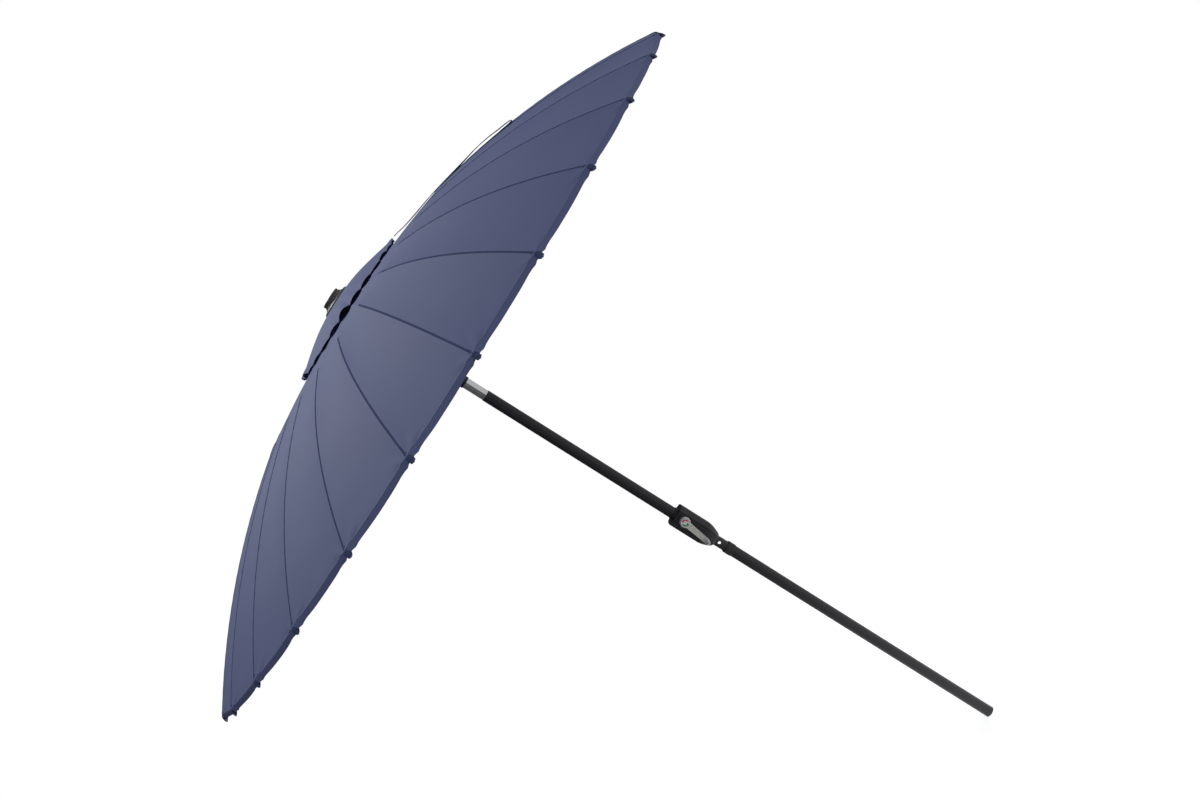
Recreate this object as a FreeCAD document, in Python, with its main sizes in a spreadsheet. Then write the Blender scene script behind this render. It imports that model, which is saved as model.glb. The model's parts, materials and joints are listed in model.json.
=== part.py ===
import FreeCAD, Part
import math
import os

import Sketcher
from FreeCAD import Placement, Rotation, Vector

# Market parasol: a two-piece pole with a crank that lifts the runner, a push-button tilt
# joint, and a round canopy on 28 curved ribs with a vent cap and a finial.
# Millimetres. +Z runs up the pole, the origin is the centre of the pole's foot, and the
# crank faces -Y. The canopy is open and upright.

DIMENSIONS = (
    ("pole_od", 38.0, "outside diameter of the pole tubes"),
    ("pole_wall", 1.5, "wall of the pole tubes"),
    ("plug_lip", 3.0, "thickness of the foot plug below the tube"),
    ("plug_depth", 25.0, "how far the foot plug reaches into the tube"),
    ("lower_top", 1110.0, "top of the lower pole"),
    ("collar_low", 1095.0, "bottom of the collar on the lower pole"),
    ("collar_high", 1124.0, "top of that collar"),
    ("collar_od", 42.0, "outside diameter of that collar"),
    ("seat_depth", 0.5, "how much the pole is turned down under that collar"),
    ("stub_od", 34.8, "outside diameter of the coupling stub"),
    ("stub_wall", 2.0, "wall of the coupling stub"),
    ("stub_low", 960.0, "bottom of the coupling stub"),
    ("stub_high", 1210.0, "top of the coupling stub"),
    ("cross_hole_z", 1153.0, "height of the cross hole through the stub"),
    ("cross_hole_d", 11.0, "diameter of that hole in front"),
    ("far_slot_w", 16.0, "width of the slot behind it, in the stub's far wall"),
    ("far_slot_drop", 8.0, "how far that slot reaches down"),
    ("snap_z", 1060.0, "height of the snap button"),
    ("snap_d", 8.0, "diameter of the snap button"),
    ("upper_low", 1172.0, "bottom of the upper pole"),
    ("upper_top", 2073.0, "top of the upper pole"),
    ("housing_low", 1167.0, "bottom of the crank housing"),
    ("housing_shoulder", 1222.0, "where the housing reaches its full width"),
    ("housing_brow", 1319.0, "bottom of the neck ring, inside the case"),
    ("housing_high", 1331.0, "top of the housing's case"),
    ("neck_high", 1339.0, "top of the housing's neck ring"),
    ("neck_od", 44.0, "outside diameter of the neck ring"),
    ("housing_width", 75.0, "full width of the housing"),
    ("housing_foot", 42.0, "width of the housing at its bottom"),
    ("housing_front", 32.0, "reach of the housing in front of the pole's axis"),
    ("housing_back", 28.0, "reach of the housing behind that axis"),
    ("housing_wall", 2.5, "wall of the housing"),
    ("housing_corner", 2.0, "bevel of the housing's upper corners"),
    ("housing_round", 8.0, "radius of the housing's rounded edges"),
    ("boss_x", 28.0, "sideways distance of the screw bosses"),
    ("boss_low_z", 1264.0, "height of the lower pair of bosses"),
    ("boss_high_z", 1313.0, "height of the upper pair of bosses"),
    ("boss_d", 8.0, "diameter of the screw bosses"),
    ("screw_d", 3.5, "diameter of the housing screws"),
    ("screw_head_d", 7.0, "diameter of their heads"),
    ("crank_z", 1297.0, "height of the crank shaft"),
    ("shaft_d", 10.0, "diameter of the crank shaft"),
    ("spool_flange_d", 21.0, "diameter of the spool's flanges"),
    ("spool_drum_d", 15.0, "diameter of the spool's drum"),
    ("spool_half", 13.0, "half of the spool's length"),
    ("running", 0.05, "radial clearance of a running fit"),
    ("crank_hub_d", 36.0, "diameter of the crank's hub"),
    ("crank_hub_in", 34.5, "inner face of the crank's hub, in front of the axis"),
    ("crank_hub_out", 48.0, "outer face of the crank's hub"),
    ("badge_d", 33.0, "diameter of the badge on the hub"),
    ("badge_thick", 2.5, "thickness of the badge"),
    ("arm_reach", 98.0, "from the crank's shaft to its knob"),
    ("arm_angle", 8.0, "lean of the crank's arm from the pole, degrees"),
    ("arm_wide", 23.0, "width of the crank's arm at its hub"),
    ("arm_narrow", 18.0, "width of the crank's arm at its knob"),
    ("arm_end_d", 19.2, "diameter of the arm's round end"),
    ("knob_d", 15.0, "diameter of the knob"),
    ("knob_long", 25.0, "length of the knob"),
    ("knob_pin_d", 6.0, "diameter of the knob's pin"),
    ("spigot_wall", 2.0, "wall of the bright tube under the tilt joint"),
    ("spigot_low", 2020.0, "bottom of the bright tube"),
    ("spigot_top", 2149.0, "top of the bright tube"),
    ("knuckle_od", 40.0, "outside diameter of the tilt joint"),
    ("fork_top", 2180.0, "top of the fork's base"),
    ("tilt_z", 2200.0, "height of the tilt pin"),
    ("cheek_half", 12.0, "half width and tip radius of the tilt joint's ears"),
    ("cheek_gap", 9.0, "half of the gap between the fork's ears"),
    ("tongue_half", 8.7, "half of the tongue's thickness"),
    ("tilt_pin_d", 8.0, "diameter of the tilt pin"),
    ("tilt_button_z", 2164.0, "height of the tilt button"),
    ("tilt_button_d", 12.0, "diameter of the tilt button"),
    ("mast_low", 2232.0, "bottom of the mast above the tilt joint"),
    ("mast_top", 2588.0, "top of the mast"),
    ("runner_bore", 41.0, "bore of the runner, wide enough for the tilt joint"),
    ("runner_z", 2290.0, "height of the runner's pivots with the canopy open"),
    ("hub_z", 2575.0, "height of the hub's pivots"),
    ("pivot_reach", 42.0, "radius of both pivot circles"),
    ("flange_reach", 46.0, "outer radius of the slotted flanges"),
    ("slot_reach", 36.0, "inner radius of the flanges' slots"),
    ("slot_wide", 5.6, "width of those slots"),
    ("ring_d", 2.5, "diameter of the pivot ring wires"),
    ("rib_count", 28.0, "number of ribs"),
    ("rib_phase", 3.0, "turn of the first rib from -Y towards -X, degrees"),
    ("rib_tip_reach", 1245.0, "radius of the ribs' tips"),
    ("rib_tip_z", 2238.0, "height of the ribs' tips"),
    ("rib_sagitta", 83.0, "rise of a rib over its chord"),
    ("rib_d", 6.0, "diameter of a rib's rod"),
    ("strut_arc", 461.0, "distance of the strut's joint along a rib"),
    ("strut_drop", 10.0, "distance of that joint below the rod's axis"),
    ("strut_d", 4.4, "diameter of a strut's rod"),
    ("cloth_thick", 1.0, "thickness of the canopy's solid"),
    ("cloth_lift", 9.0, "height of the canopy over the rods' axes"),
    ("cloth_inner", 150.0, "radius of the canopy's vent opening"),
    ("cloth_outer", 1250.0, "radius of the canopy's rim"),
    ("vent_reach", 265.0, "radius of the vent cap"),
    ("vent_flat", 60.0, "radius of the vent cap's level middle"),
    ("vent_top", 2627.0, "underside of the vent cap at the middle"),
    ("vent_rim", 2580.0, "underside of the vent cap at its rim"),
    ("stud_d", 12.0, "diameter of the hub's stud"),
    ("finial_d", 115.0, "diameter of the finial's base"),
    ("finial_top", 2655.0, "top of the finial"),
    ("strap_inner", 285.0, "inner end of the closing strap"),
    ("strap_outer", 775.0, "outer end of the closing strap"),
    ("strap_wide", 25.0, "width of the closing strap"),
    ("strap_lift", 14.0, "how far the strap stands off the canopy in the middle"),
)
STRAP_RIB = 22  # the rib that carries the closing strap
RING_CLEARANCE = 0.1  # radial clearance of an eye on its ring wire

DOC = FreeCAD.newDocument("parasol")


# --- sizes ---------------------------------------------------------------------------


class Size:
    """A number of the design together with the sheet expression that gives it."""

    def __init__(self, value, text):
        self.value = float(value)
        self.text = text

    def __add__(self, other):
        other = as_size(other)
        return Size(self.value + other.value, f"({self.text} + {other.text})")

    def __sub__(self, other):
        other = as_size(other)
        return Size(self.value - other.value, f"({self.text} - {other.text})")

    def __mul__(self, other):
        other = as_size(other)
        return Size(self.value * other.value, f"({self.text} * {other.text})")

    def __truediv__(self, other):
        other = as_size(other)
        return Size(self.value / other.value, f"({self.text} / {other.text})")

    def __neg__(self):
        return Size(-self.value, f"(-1 * {self.text})")


def as_size(number):
    """Any plain number as a Size."""
    return number if isinstance(number, Size) else Size(number, repr(float(number)))


def sine(angle):
    """Sine of an angle in degrees."""
    return Size(math.sin(math.radians(angle.value)), f"sin({angle.text})")


def cosine(angle):
    """Cosine of an angle in degrees."""
    return Size(math.cos(math.radians(angle.value)), f"cos({angle.text})")


class Design:
    """The spreadsheet, with each of its dimensions as an attribute."""

    def __init__(self, rows):
        sheet = DOC.addObject("Spreadsheet::Sheet", "Dimensions")
        for line, (alias, value, meaning) in enumerate(rows, start=1):
            sheet.set(f"A{line}", alias)
            sheet.set(f"B{line}", str(value))
            sheet.set(f"C{line}", meaning)
            sheet.setAlias(f"B{line}", alias)
        DOC.recompute()
        for alias, _, _ in rows:
            setattr(self, alias, Size(getattr(sheet, alias), f"Dimensions.{alias}"))


D = Design(DIMENSIONS)
POLE_R = D.pole_od / 2
POLE_BORE = POLE_R - D.pole_wall
SEAT_R = POLE_R - D.seat_depth
STUB_R = D.stub_od / 2
STUB_BORE = STUB_R - D.stub_wall
SHAFT_R = D.shaft_d / 2


def bind(thing, path, size):
    """Ties one property of an object to the sheet."""
    thing.setExpression(path, as_size(size).text)


# --- primitives and booleans ---------------------------------------------------------


def cylinder(name, radius, low, high, along="Z", x=0, z=0):
    """A cylinder from low to high along Z, or along Y at the given x and z."""
    solid = DOC.addObject("Part::Cylinder", name)
    bind(solid, "Radius", radius)
    bind(solid, "Height", as_size(high) - low)
    if along == "Y":
        solid.Placement = Placement(Vector(0, 0, 0), Rotation(Vector(1, 0, 0), -90))
        bind(solid, "Placement.Base.x", x)
        bind(solid, "Placement.Base.y", low)
        bind(solid, "Placement.Base.z", z)
    else:
        bind(solid, "Placement.Base.z", low)
    return solid


def box(name, x, y, z):
    """A box from three (low, high) pairs."""
    solid = DOC.addObject("Part::Box", name)
    sides = (("Length", "x", x), ("Width", "y", y), ("Height", "z", z))
    for length, axis, (low, high) in sides:
        bind(solid, length, as_size(high) - low)
        bind(solid, f"Placement.Base.{axis}", low)
    return solid


def fused(name, *solids):
    """One solid made of several."""
    result = DOC.addObject("Part::MultiFuse", name)
    result.Shapes = list(solids)
    return result


def cut(name, base, *tools):
    """The base without the tools."""
    result = DOC.addObject("Part::Cut", name)
    result.Base = base
    result.Tool = tools[0] if len(tools) == 1 else fused(f"{name}_tools", *tools)
    return result


def common(name, first, second):
    """What two solids share."""
    result = DOC.addObject("Part::Common", name)
    result.Base = first
    result.Tool = second
    return result


def tube(name, outer, inner, low, high):
    """A round tube along Z."""
    wall = cylinder(f"{name}_outside", outer, low, high)
    hollow = cylinder(f"{name}_inside", inner, low, high)
    return cut(name, wall, hollow)


# --- bodies from sketches ------------------------------------------------------------


def plane_of(body, role):
    """A body's own origin plane."""
    return next(f for f in body.Origin.OriginFeatures if f.Role == role)


def empty_sketch(body, name, role):
    """A sketch that lies on one of its body's origin planes."""
    sketch = body.newObject("Sketcher::SketchObject", name)
    sketch.AttachmentSupport = [(plane_of(body, role), "")]
    sketch.MapMode = "FlatFace"
    return sketch


def place_corner(sketch, line, kind, size):
    """Gives the start of a line its distance from the sketch's origin."""
    size = as_size(size)
    if kind == "DistanceX" and size.value == 0:
        sketch.addConstraint(Sketcher.Constraint("PointOnObject", line, 1, -2))
        return
    at = sketch.addConstraint(Sketcher.Constraint(kind, -1, 1, line, 1, size.value))
    sketch.setExpression(f"Constraints[{at}]", size.text)


def outline(body, name, role, corners):
    """A closed outline of straight lines whose corners are tied to the sheet."""
    sketch = empty_sketch(body, name, role)
    points = [Vector(as_size(x).value, as_size(y).value, 0) for x, y in corners]
    count = len(points)
    for i in range(count):
        sketch.addGeometry(Part.LineSegment(points[i], points[(i + 1) % count]), False)
    for i in range(count):
        following = (i + 1) % count
        sketch.addConstraint(Sketcher.Constraint("Coincident", i, 2, following, 1))
    for i, (x, y) in enumerate(corners):
        place_corner(sketch, i, "DistanceX", x)
        place_corner(sketch, i, "DistanceY", y)
    return sketch


def turned(name, corners):
    """A body of revolution about Z from corners given as radius and height."""
    body = DOC.addObject("PartDesign::Body", name)
    sketch = outline(body, f"{name}_profile", "XZ_Plane", corners)
    turn = body.newObject("PartDesign::Revolution", f"{name}_turn")
    turn.Profile = sketch
    turn.ReferenceAxis = (sketch, ["V_Axis"])
    turn.Angle = 360.0
    body.Tip = turn
    return body


def turned_along_y(name, corners, x=0, z=0):
    """A body of revolution whose axis runs along Y, from radius and y corners."""
    body = turned(name, corners)
    body.Placement = Placement(Vector(0, 0, 0), Rotation(Vector(1, 0, 0), -90))
    bind(body, "Placement.Base.x", x)
    bind(body, "Placement.Base.z", z)
    return body


def slab(name, corners, thickness, back):
    """A body padded from an outline in XZ, from y = back towards -Y."""
    body = DOC.addObject("PartDesign::Body", name)
    pad = body.newObject("PartDesign::Pad", f"{name}_pad")
    pad.Profile = outline(body, f"{name}_outline", "XZ_Plane", corners)
    bind(pad, "Length", thickness)
    body.Tip = pad
    bind(body, "Placement.Base.y", back)
    return body


def mirrored_corners(half):
    """A left-right symmetric outline from its right half, listed upwards."""
    return list(half) + [(-as_size(x), z) for x, z in reversed(half)]


# --- lower pole ----------------------------------------------------------------------


def build_lower_pole():
    """The tube that stands in the base, with the hole for the snap button."""
    plain = tube("lower_tube", POLE_R, POLE_BORE, D.plug_lip, D.collar_low)
    seat = tube("lower_seat", SEAT_R, POLE_BORE, D.collar_low, D.lower_top)
    wall = fused("lower_wall", plain, seat)
    hole_r = D.snap_d / 2 + D.running * 2
    hole = cylinder("lower_snap_hole", hole_r, STUB_BORE, D.pole_od, "Y", 0, D.snap_z)
    return cut("lower_pole", wall, hole)


def build_foot_plug():
    """The moulded plug that closes the foot of the pole."""
    top = D.plug_lip + D.plug_depth
    return turned("foot_plug", [
        (0, 0), (POLE_R, 0), (POLE_R, D.plug_lip),
        (POLE_BORE, D.plug_lip), (POLE_BORE, top), (0, top),
    ])


def build_pole_collar():
    """The collar that guides the stub into the lower pole."""
    outer = D.collar_od / 2
    return turned("pole_collar", [
        (SEAT_R, D.collar_low), (outer - 0.8, D.collar_low), (outer, D.collar_low + 2),
        (outer, D.collar_high - 2), (outer - 1, D.collar_high),
        (POLE_BORE, D.collar_high), (POLE_BORE, D.lower_top), (SEAT_R, D.lower_top),
    ])


def build_coupling_stub():
    """The inner tube that joins the two poles, with its cross hole and the slot behind it."""
    wall = tube("stub_tube", STUB_R, STUB_BORE, D.stub_low, D.stub_high)
    across = cylinder("stub_cross_hole", D.cross_hole_d / 2, -D.pole_od, 0,
                      "Y", 0, D.cross_hole_z)
    low = D.cross_hole_z - D.far_slot_drop
    half = D.far_slot_w / 2
    above = cylinder("stub_slot_top", half, 0, D.pole_od, "Y", 0, D.cross_hole_z)
    below = cylinder("stub_slot_foot", half, 0, D.pole_od, "Y", 0, low)
    between = box("stub_slot", (-half, half), (0, D.pole_od), (low, D.cross_hole_z))
    hole_r = D.snap_d / 2 + D.running
    hole = cylinder("stub_snap_hole", hole_r, STUB_R / 2, D.pole_od, "Y", 0, D.snap_z)
    return cut("coupling_stub", wall, across, above, below, between, hole)


def build_snap_button():
    """The sprung button that locks the stub in the lower pole."""
    reach = POLE_R - 0.2
    radius = D.snap_d / 2
    return turned_along_y("snap_button", [
        (0, 12), (radius + 1.5, 12), (radius + 1.5, 14), (radius, 14),
        (radius, reach - 1.5), (radius - 1.5, reach), (0, reach),
    ], 0, D.snap_z)


# --- crank ---------------------------------------------------------------------------


def housing_corners(inset):
    """The housing's outline, drawn in by inset on every side."""
    foot = D.housing_foot / 2 - inset
    wide = D.housing_width / 2 - inset
    rise = D.housing_shoulder - D.housing_low
    swell = wide - foot
    nose = [(foot + swell * side, D.housing_low + rise * up)
            for side, up in ((0.34, 0.17), (0.64, 0.40), (0.87, 0.68))]
    return mirrored_corners([
        (foot, D.housing_low + inset), *nose, (wide, D.housing_shoulder),
        (wide, D.housing_high - inset - D.housing_corner),
        (wide - D.housing_corner, D.housing_high - inset),
    ])


def outer_edges(shape):
    """Names of the edges along the housing's front, back and long sides."""
    low = shape.BoundBox.YMin
    high = shape.BoundBox.YMax
    names = []
    for number, edge in enumerate(shape.Edges, start=1):
        box_of = edge.BoundBox
        on_face = box_of.YLength < 1e-3 and min(
            abs(box_of.YMin - low), abs(box_of.YMin - high)
        ) < 1e-3
        at_end = on_face and box_of.ZLength < 1e-3
        if on_face and not at_end:
            names.append(f"Edge{number}")
    return names


def housing_case():
    """The whole housing, hollow, with its neck, bosses and bores."""
    depth = D.housing_front + D.housing_back
    case = slab("case_solid", housing_corners(as_size(0)), depth, D.housing_back)
    DOC.recompute()
    pad = case.Tip
    rounding = case.newObject("PartDesign::Fillet", "case_rounding")
    rounding.Base = (pad, outer_edges(pad.Shape))
    bind(rounding, "Radius", D.housing_round)
    case.Tip = rounding
    neck = cylinder("case_neck", D.neck_od / 2, D.housing_brow, D.neck_high)
    hollow = slab("case_hollow", housing_corners(D.housing_wall),
                  depth - D.housing_wall * 2, D.housing_back - D.housing_wall)
    bosses = []
    holes = []
    for number, (x, z) in enumerate(boss_places(), start=1):
        bosses.append(cylinder(f"boss_{number}", D.boss_d / 2,
                               -D.housing_front + D.housing_wall,
                               D.housing_back - D.housing_wall, "Y", x, z))
        holes.append(cylinder(f"boss_hole_{number}", D.screw_d / 2,
                              -D.housing_front + D.housing_wall * 3,
                              D.housing_back, "Y", x, z))
        holes.append(cylinder(f"head_hole_{number}", D.screw_head_d / 2,
                              D.housing_back - D.housing_wall, D.housing_back + 1,
                              "Y", x, z))
    bore = cylinder("case_bore", POLE_R, D.housing_low - 1, D.neck_high + 1)
    shaft = cylinder("case_shaft_hole", SHAFT_R + D.running, -D.housing_front - 1,
                     0, "Y", 0, D.crank_z)
    shell = cut("case_shell", fused("case_outside", case, neck), hollow)
    return cut("case", fused("case_bossed", shell, *bosses), bore, shaft, *holes)


def boss_places():
    """The four screws' x and z."""
    return [(side, z) for side in (-D.boss_x, D.boss_x)
            for z in (D.boss_low_z, D.boss_high_z)]


def build_housing():
    """The two halves of the crank housing, parted in the plane of the pole's axis."""
    case = housing_case()
    wide = D.housing_width
    span = (-wide, wide)
    tall = (D.housing_low - 5, D.neck_high + 5)
    behind = box("behind_parting", span, (0, wide), tall)
    ahead = box("ahead_of_parting", span, (-wide, 0), tall)
    return cut("housing_front", case, behind), cut("housing_rear", case, ahead)


def build_housing_screws():
    """Four screws that hold the halves together."""
    screws = []
    for number, (x, z) in enumerate(boss_places(), start=1):
        shank = cylinder(f"shank_{number}", D.screw_d / 2,
                         -D.housing_front + D.housing_wall * 3,
                         D.housing_back - D.housing_wall, "Y", x, z)
        head = cylinder(f"head_{number}", D.screw_head_d / 2,
                        D.housing_back - D.housing_wall, D.housing_back, "Y", x, z)
        screws.append(fused(f"screw_{number}", shank, head))
    group = DOC.addObject("Part::Compound", "housing_screws")
    group.Links = screws
    return group


def build_upper_pole():
    """The tube between the housing and the tilt joint, bored for the crank shaft."""
    wall = tube("upper_tube", POLE_R, POLE_BORE, D.upper_low, D.upper_top)
    across = cylinder("upper_shaft_hole", SHAFT_R + D.running, -D.pole_od, D.pole_od,
                      "Y", 0, D.crank_z)
    return cut("upper_pole", wall, across)


def build_crank_shaft():
    """The shaft from the crank's hub through the pole."""
    return cylinder("crank_shaft", SHAFT_R, -D.crank_hub_out + 2, POLE_R + 3,
                    "Y", 0, D.crank_z)


def build_crank_spool():
    """The spool inside the pole that winds the lifting cord."""
    flange = D.spool_flange_d / 2
    drum = D.spool_drum_d / 2
    half = D.spool_half
    return turned_along_y("crank_spool", [
        (SHAFT_R, -half), (flange, -half), (flange, -half + 2), (drum, -half + 3),
        (drum, half - 3), (flange, half - 2), (flange, half), (SHAFT_R, half),
    ], 0, D.crank_z)


def build_crank_arm():
    """The crank's hub and tapered arm, hanging towards the foot."""
    back = -D.crank_hub_in
    front = -D.crank_hub_out
    hub = cylinder("arm_hub", D.crank_hub_d / 2, front, back, "Y")
    wide = D.arm_wide / 2
    narrow = D.arm_narrow / 2
    bar = slab("arm_bar", [(-narrow, -D.arm_reach), (narrow, -D.arm_reach),
                           (wide, 0), (-wide, 0)], 8, front + 9)
    boss = cylinder("arm_boss", D.arm_end_d / 2, front, front + 10, "Y", 0, -D.arm_reach)
    seat = cylinder("arm_seat", SHAFT_R, front + 2, back + 1, "Y")
    pin_hole = cylinder("arm_pin_hole", D.knob_pin_d / 2, front - 1, front + 11,
                        "Y", 0, -D.arm_reach)
    arm = cut("crank_arm", fused("arm_solid", hub, bar, boss), seat, pin_hole)
    arm.Placement = Placement(Vector(0, 0, 0), Rotation(Vector(0, 1, 0), 1))
    bind(arm, "Placement.Rotation.Angle", D.arm_angle)
    bind(arm, "Placement.Base.z", D.crank_z)
    return arm


def build_crank_badge():
    """The round badge in the middle of the crank's hub."""
    radius = D.badge_d / 2
    front = -D.crank_hub_out
    return turned_along_y("crank_badge", [
        (0, front), (radius, front), (radius, front - D.badge_thick + 1),
        (radius - 1, front - D.badge_thick), (0, front - D.badge_thick),
    ], 0, D.crank_z)


def knob_place():
    """The knob's x and z."""
    return (-D.arm_reach * sine(D.arm_angle),
            D.crank_z - D.arm_reach * cosine(D.arm_angle))


def build_knob_pin():
    """The pin that the knob turns on, with its head outside."""
    radius = D.knob_pin_d / 2
    front = -D.crank_hub_out
    head = front - D.knob_long - 0.5
    return turned_along_y("knob_pin", [
        (0, front + 10), (radius, front + 10), (radius, head), (radius + 2, head),
        (radius + 2, head - 1.5), (radius + 1, head - 2.5), (0, head - 2.5),
    ], *knob_place())


def build_crank_knob():
    """The knob that turns freely on its pin."""
    radius = D.knob_d / 2
    bore = D.knob_pin_d / 2 + D.running
    near = -D.crank_hub_out - 0.3
    far = near - D.knob_long + 0.5
    return turned_along_y("crank_knob", [
        (bore, near), (radius - 2, near), (radius - 0.5, near - 4),
        (radius, near - 14), (radius - 0.5, far + 3), (radius - 3, far), (bore, far),
    ], *knob_place())


# --- tilt joint ----------------------------------------------------------------------


def build_spigot_tube():
    """The bright tube between the upper pole and the tilt joint."""
    inner = POLE_BORE - D.spigot_wall
    return tube("spigot_tube", POLE_BORE, inner, D.spigot_low, D.spigot_top)


def build_tilt_fork():
    """The fork on the fixed pole, with its two ears and the button's bore."""
    round_r = D.knuckle_od / 2
    half = D.cheek_half
    plug = cylinder("fork_plug", POLE_BORE - D.spigot_wall, D.spigot_top - 30, D.spigot_top)
    base = cylinder("fork_base", round_r, D.spigot_top, D.fork_top)
    block = box("fork_block", (-half, half), (-round_r, round_r), (D.fork_top, D.tilt_z))
    tips = cylinder("fork_tips", half, -round_r, round_r, "Y", 0, D.tilt_z)
    limit = cylinder("fork_limit", round_r, D.fork_top, D.tilt_z + half)
    ears = common("fork_ears", fused("fork_blank", block, tips), limit)
    gap = box("fork_gap", (-round_r, round_r), (-D.cheek_gap, D.cheek_gap),
              (D.fork_top, D.tilt_z + half + 1))
    pin = cylinder("fork_pin_hole", D.tilt_pin_d / 2, -round_r, round_r, "Y", 0, D.tilt_z)
    bore = cylinder("fork_button_bore", D.tilt_button_d / 2 + D.running, -round_r - 1, 8,
                    "Y", 0, D.tilt_button_z)
    return cut("tilt_fork", fused("fork_solid", plug, base, ears), gap, pin, bore)


def build_tilt_tongue():
    """The tongue that swings between the ears and carries the mast."""
    half = D.cheek_half
    thick = D.tongue_half
    top = D.tilt_z + 18
    neck = box("tongue_neck", (-half, half), (-thick, thick), (D.tilt_z, top))
    tip = cylinder("tongue_tip", half, -thick, thick, "Y", 0, D.tilt_z)
    base = cylinder("tongue_base", D.knuckle_od / 2, top, D.mast_low)
    plug = cylinder("tongue_plug", POLE_BORE, D.mast_low, D.mast_low + 30)
    hole = cylinder("tongue_hole", D.tilt_pin_d / 2 + D.running, -thick - 1, thick + 1,
                    "Y", 0, D.tilt_z)
    return cut("tilt_tongue", fused("tongue_solid", neck, tip, base, plug), hole)


def build_tilt_pin():
    """The cross pin of the tilt joint."""
    half = D.knuckle_od / 2 - 2
    return cylinder("tilt_pin", D.tilt_pin_d / 2, -half, half, "Y", 0, D.tilt_z)


def build_tilt_button():
    """The push button that frees the tilt joint, flush with the fork."""
    radius = D.tilt_button_d / 2
    face = -D.knuckle_od / 2 + 0.1
    return turned_along_y("tilt_button", [
        (0, -6), (0, face), (radius - 1.5, face), (radius, face + 1), (radius, -6),
    ], 0, D.tilt_button_z)


def coil(name, mean_r, wire_r, low, high, turns, z):
    """A compression spring along Y between low and high."""
    pitch = (high - low - 2 * wire_r) / turns
    path = Part.Wire(Part.makeHelix(pitch, pitch * turns, mean_r))
    start = Part.makeCircle(wire_r, Vector(mean_r, 0, 0), Vector(0, 1, 0))
    solid = path.makePipeShell([Part.Wire(start)], True, True)
    spring = DOC.addObject("Part::Feature", name)
    spring.Shape = solid
    spring.Placement = Placement(Vector(0, low + wire_r, z), Rotation(Vector(1, 0, 0), -90))
    return spring


def build_snap_spring():
    """The spring behind the snap button."""
    return coil("snap_spring", 3.4, 0.6, -STUB_BORE.value + 0.5, 12, 7, D.snap_z.value)


def build_button_spring():
    """The spring behind the tilt button."""
    return coil("button_spring", 3.4, 0.6, -6, 8, 3.5, D.tilt_button_z.value)


# --- runner and hub ------------------------------------------------------------------


def slotted(name, corners, flange_low, flange_high, pivot_z):
    """A turned body whose flange has one slot a rib and a channel for its ring wire."""
    body = turned(name, corners)
    DOC.recompute()
    half = D.slot_wide / 2
    sketch = outline(body, f"{name}_slot", "XY_Plane", [
        (D.slot_reach, -half), (D.flange_reach + 1, -half),
        (D.flange_reach + 1, half), (D.slot_reach, half),
    ])
    bind(sketch, "AttachmentOffset.Base.z", flange_high)
    slot = body.newObject("PartDesign::Pocket", f"{name}_slot_cut")
    slot.Profile = sketch
    bind(slot, "Length", flange_high - flange_low)
    body.Tip = slot
    DOC.recompute()
    pattern = body.newObject("PartDesign::PolarPattern", f"{name}_slots")
    pattern.Originals = [slot]
    pattern.Axis = (sketch, ["N_Axis"])
    pattern.Angle = 360.0
    bind(pattern, "Occurrences", D.rib_count)
    body.Tip = pattern
    DOC.recompute()
    ring = empty_sketch(body, f"{name}_channel", "XZ_Plane")
    centre = Vector(D.pivot_reach.value, pivot_z.value, 0)
    radius = D.ring_d / 2
    ring.addGeometry(Part.Circle(centre, Vector(0, 0, 1), radius.value), False)
    for kind, size in (("DistanceX", D.pivot_reach), ("DistanceY", pivot_z)):
        at = ring.addConstraint(Sketcher.Constraint(kind, -1, 1, 0, 3, size.value))
        ring.setExpression(f"Constraints[{at}]", size.text)
    at = ring.addConstraint(Sketcher.Constraint("Radius", 0, radius.value))
    ring.setExpression(f"Constraints[{at}]", radius.text)
    channel = body.newObject("PartDesign::Groove", f"{name}_channel_cut")
    channel.Profile = ring
    channel.ReferenceAxis = (ring, ["V_Axis"])
    channel.Angle = 360.0
    body.Tip = channel
    body.Placement = Placement(Vector(0, 0, 0), Rotation(Vector(0, 0, 1), rib_azimuth(1)))
    return body


def ring_wire(name, height):
    """The wire ring that ribs or struts turn on."""
    ring = DOC.addObject("Part::Torus", name)
    bind(ring, "Radius1", D.pivot_reach)
    bind(ring, "Radius2", D.ring_d / 2)
    bind(ring, "Placement.Base.z", height)
    return ring


def build_runner():
    """The sleeve that slides on the mast and pole and spreads the struts."""
    bore = D.runner_bore / 2
    top = D.runner_z + 6
    low = D.runner_z - 6
    flange = D.flange_reach
    return slotted("runner", [
        (bore, D.runner_z - 40), (bore + 3.5, D.runner_z - 40), (bore + 4.5, D.runner_z - 37),
        (bore + 4.5, low - 8), (bore + 8, low), (flange, low), (flange, top),
        (bore + 6, top), (bore + 4, top + 12), (bore, top + 12),
    ], low, top, D.runner_z)


def build_hub():
    """The notched hub on top of the mast, with the stud that holds the finial."""
    low = D.hub_z - 9
    top = D.hub_z + 9
    flange = D.flange_reach
    stud = D.stud_d / 2
    return slotted("hub", [
        (POLE_R, low - 22), (POLE_R + 5, low - 22), (POLE_R + 5, low), (flange, low),
        (flange, top), (30, top), (22, D.vent_top), (stud, D.vent_top),
        (stud, D.vent_top + 14), (0, D.vent_top + 14), (0, D.mast_top), (POLE_R, D.mast_top),
    ], low, top, D.hub_z)


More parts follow.
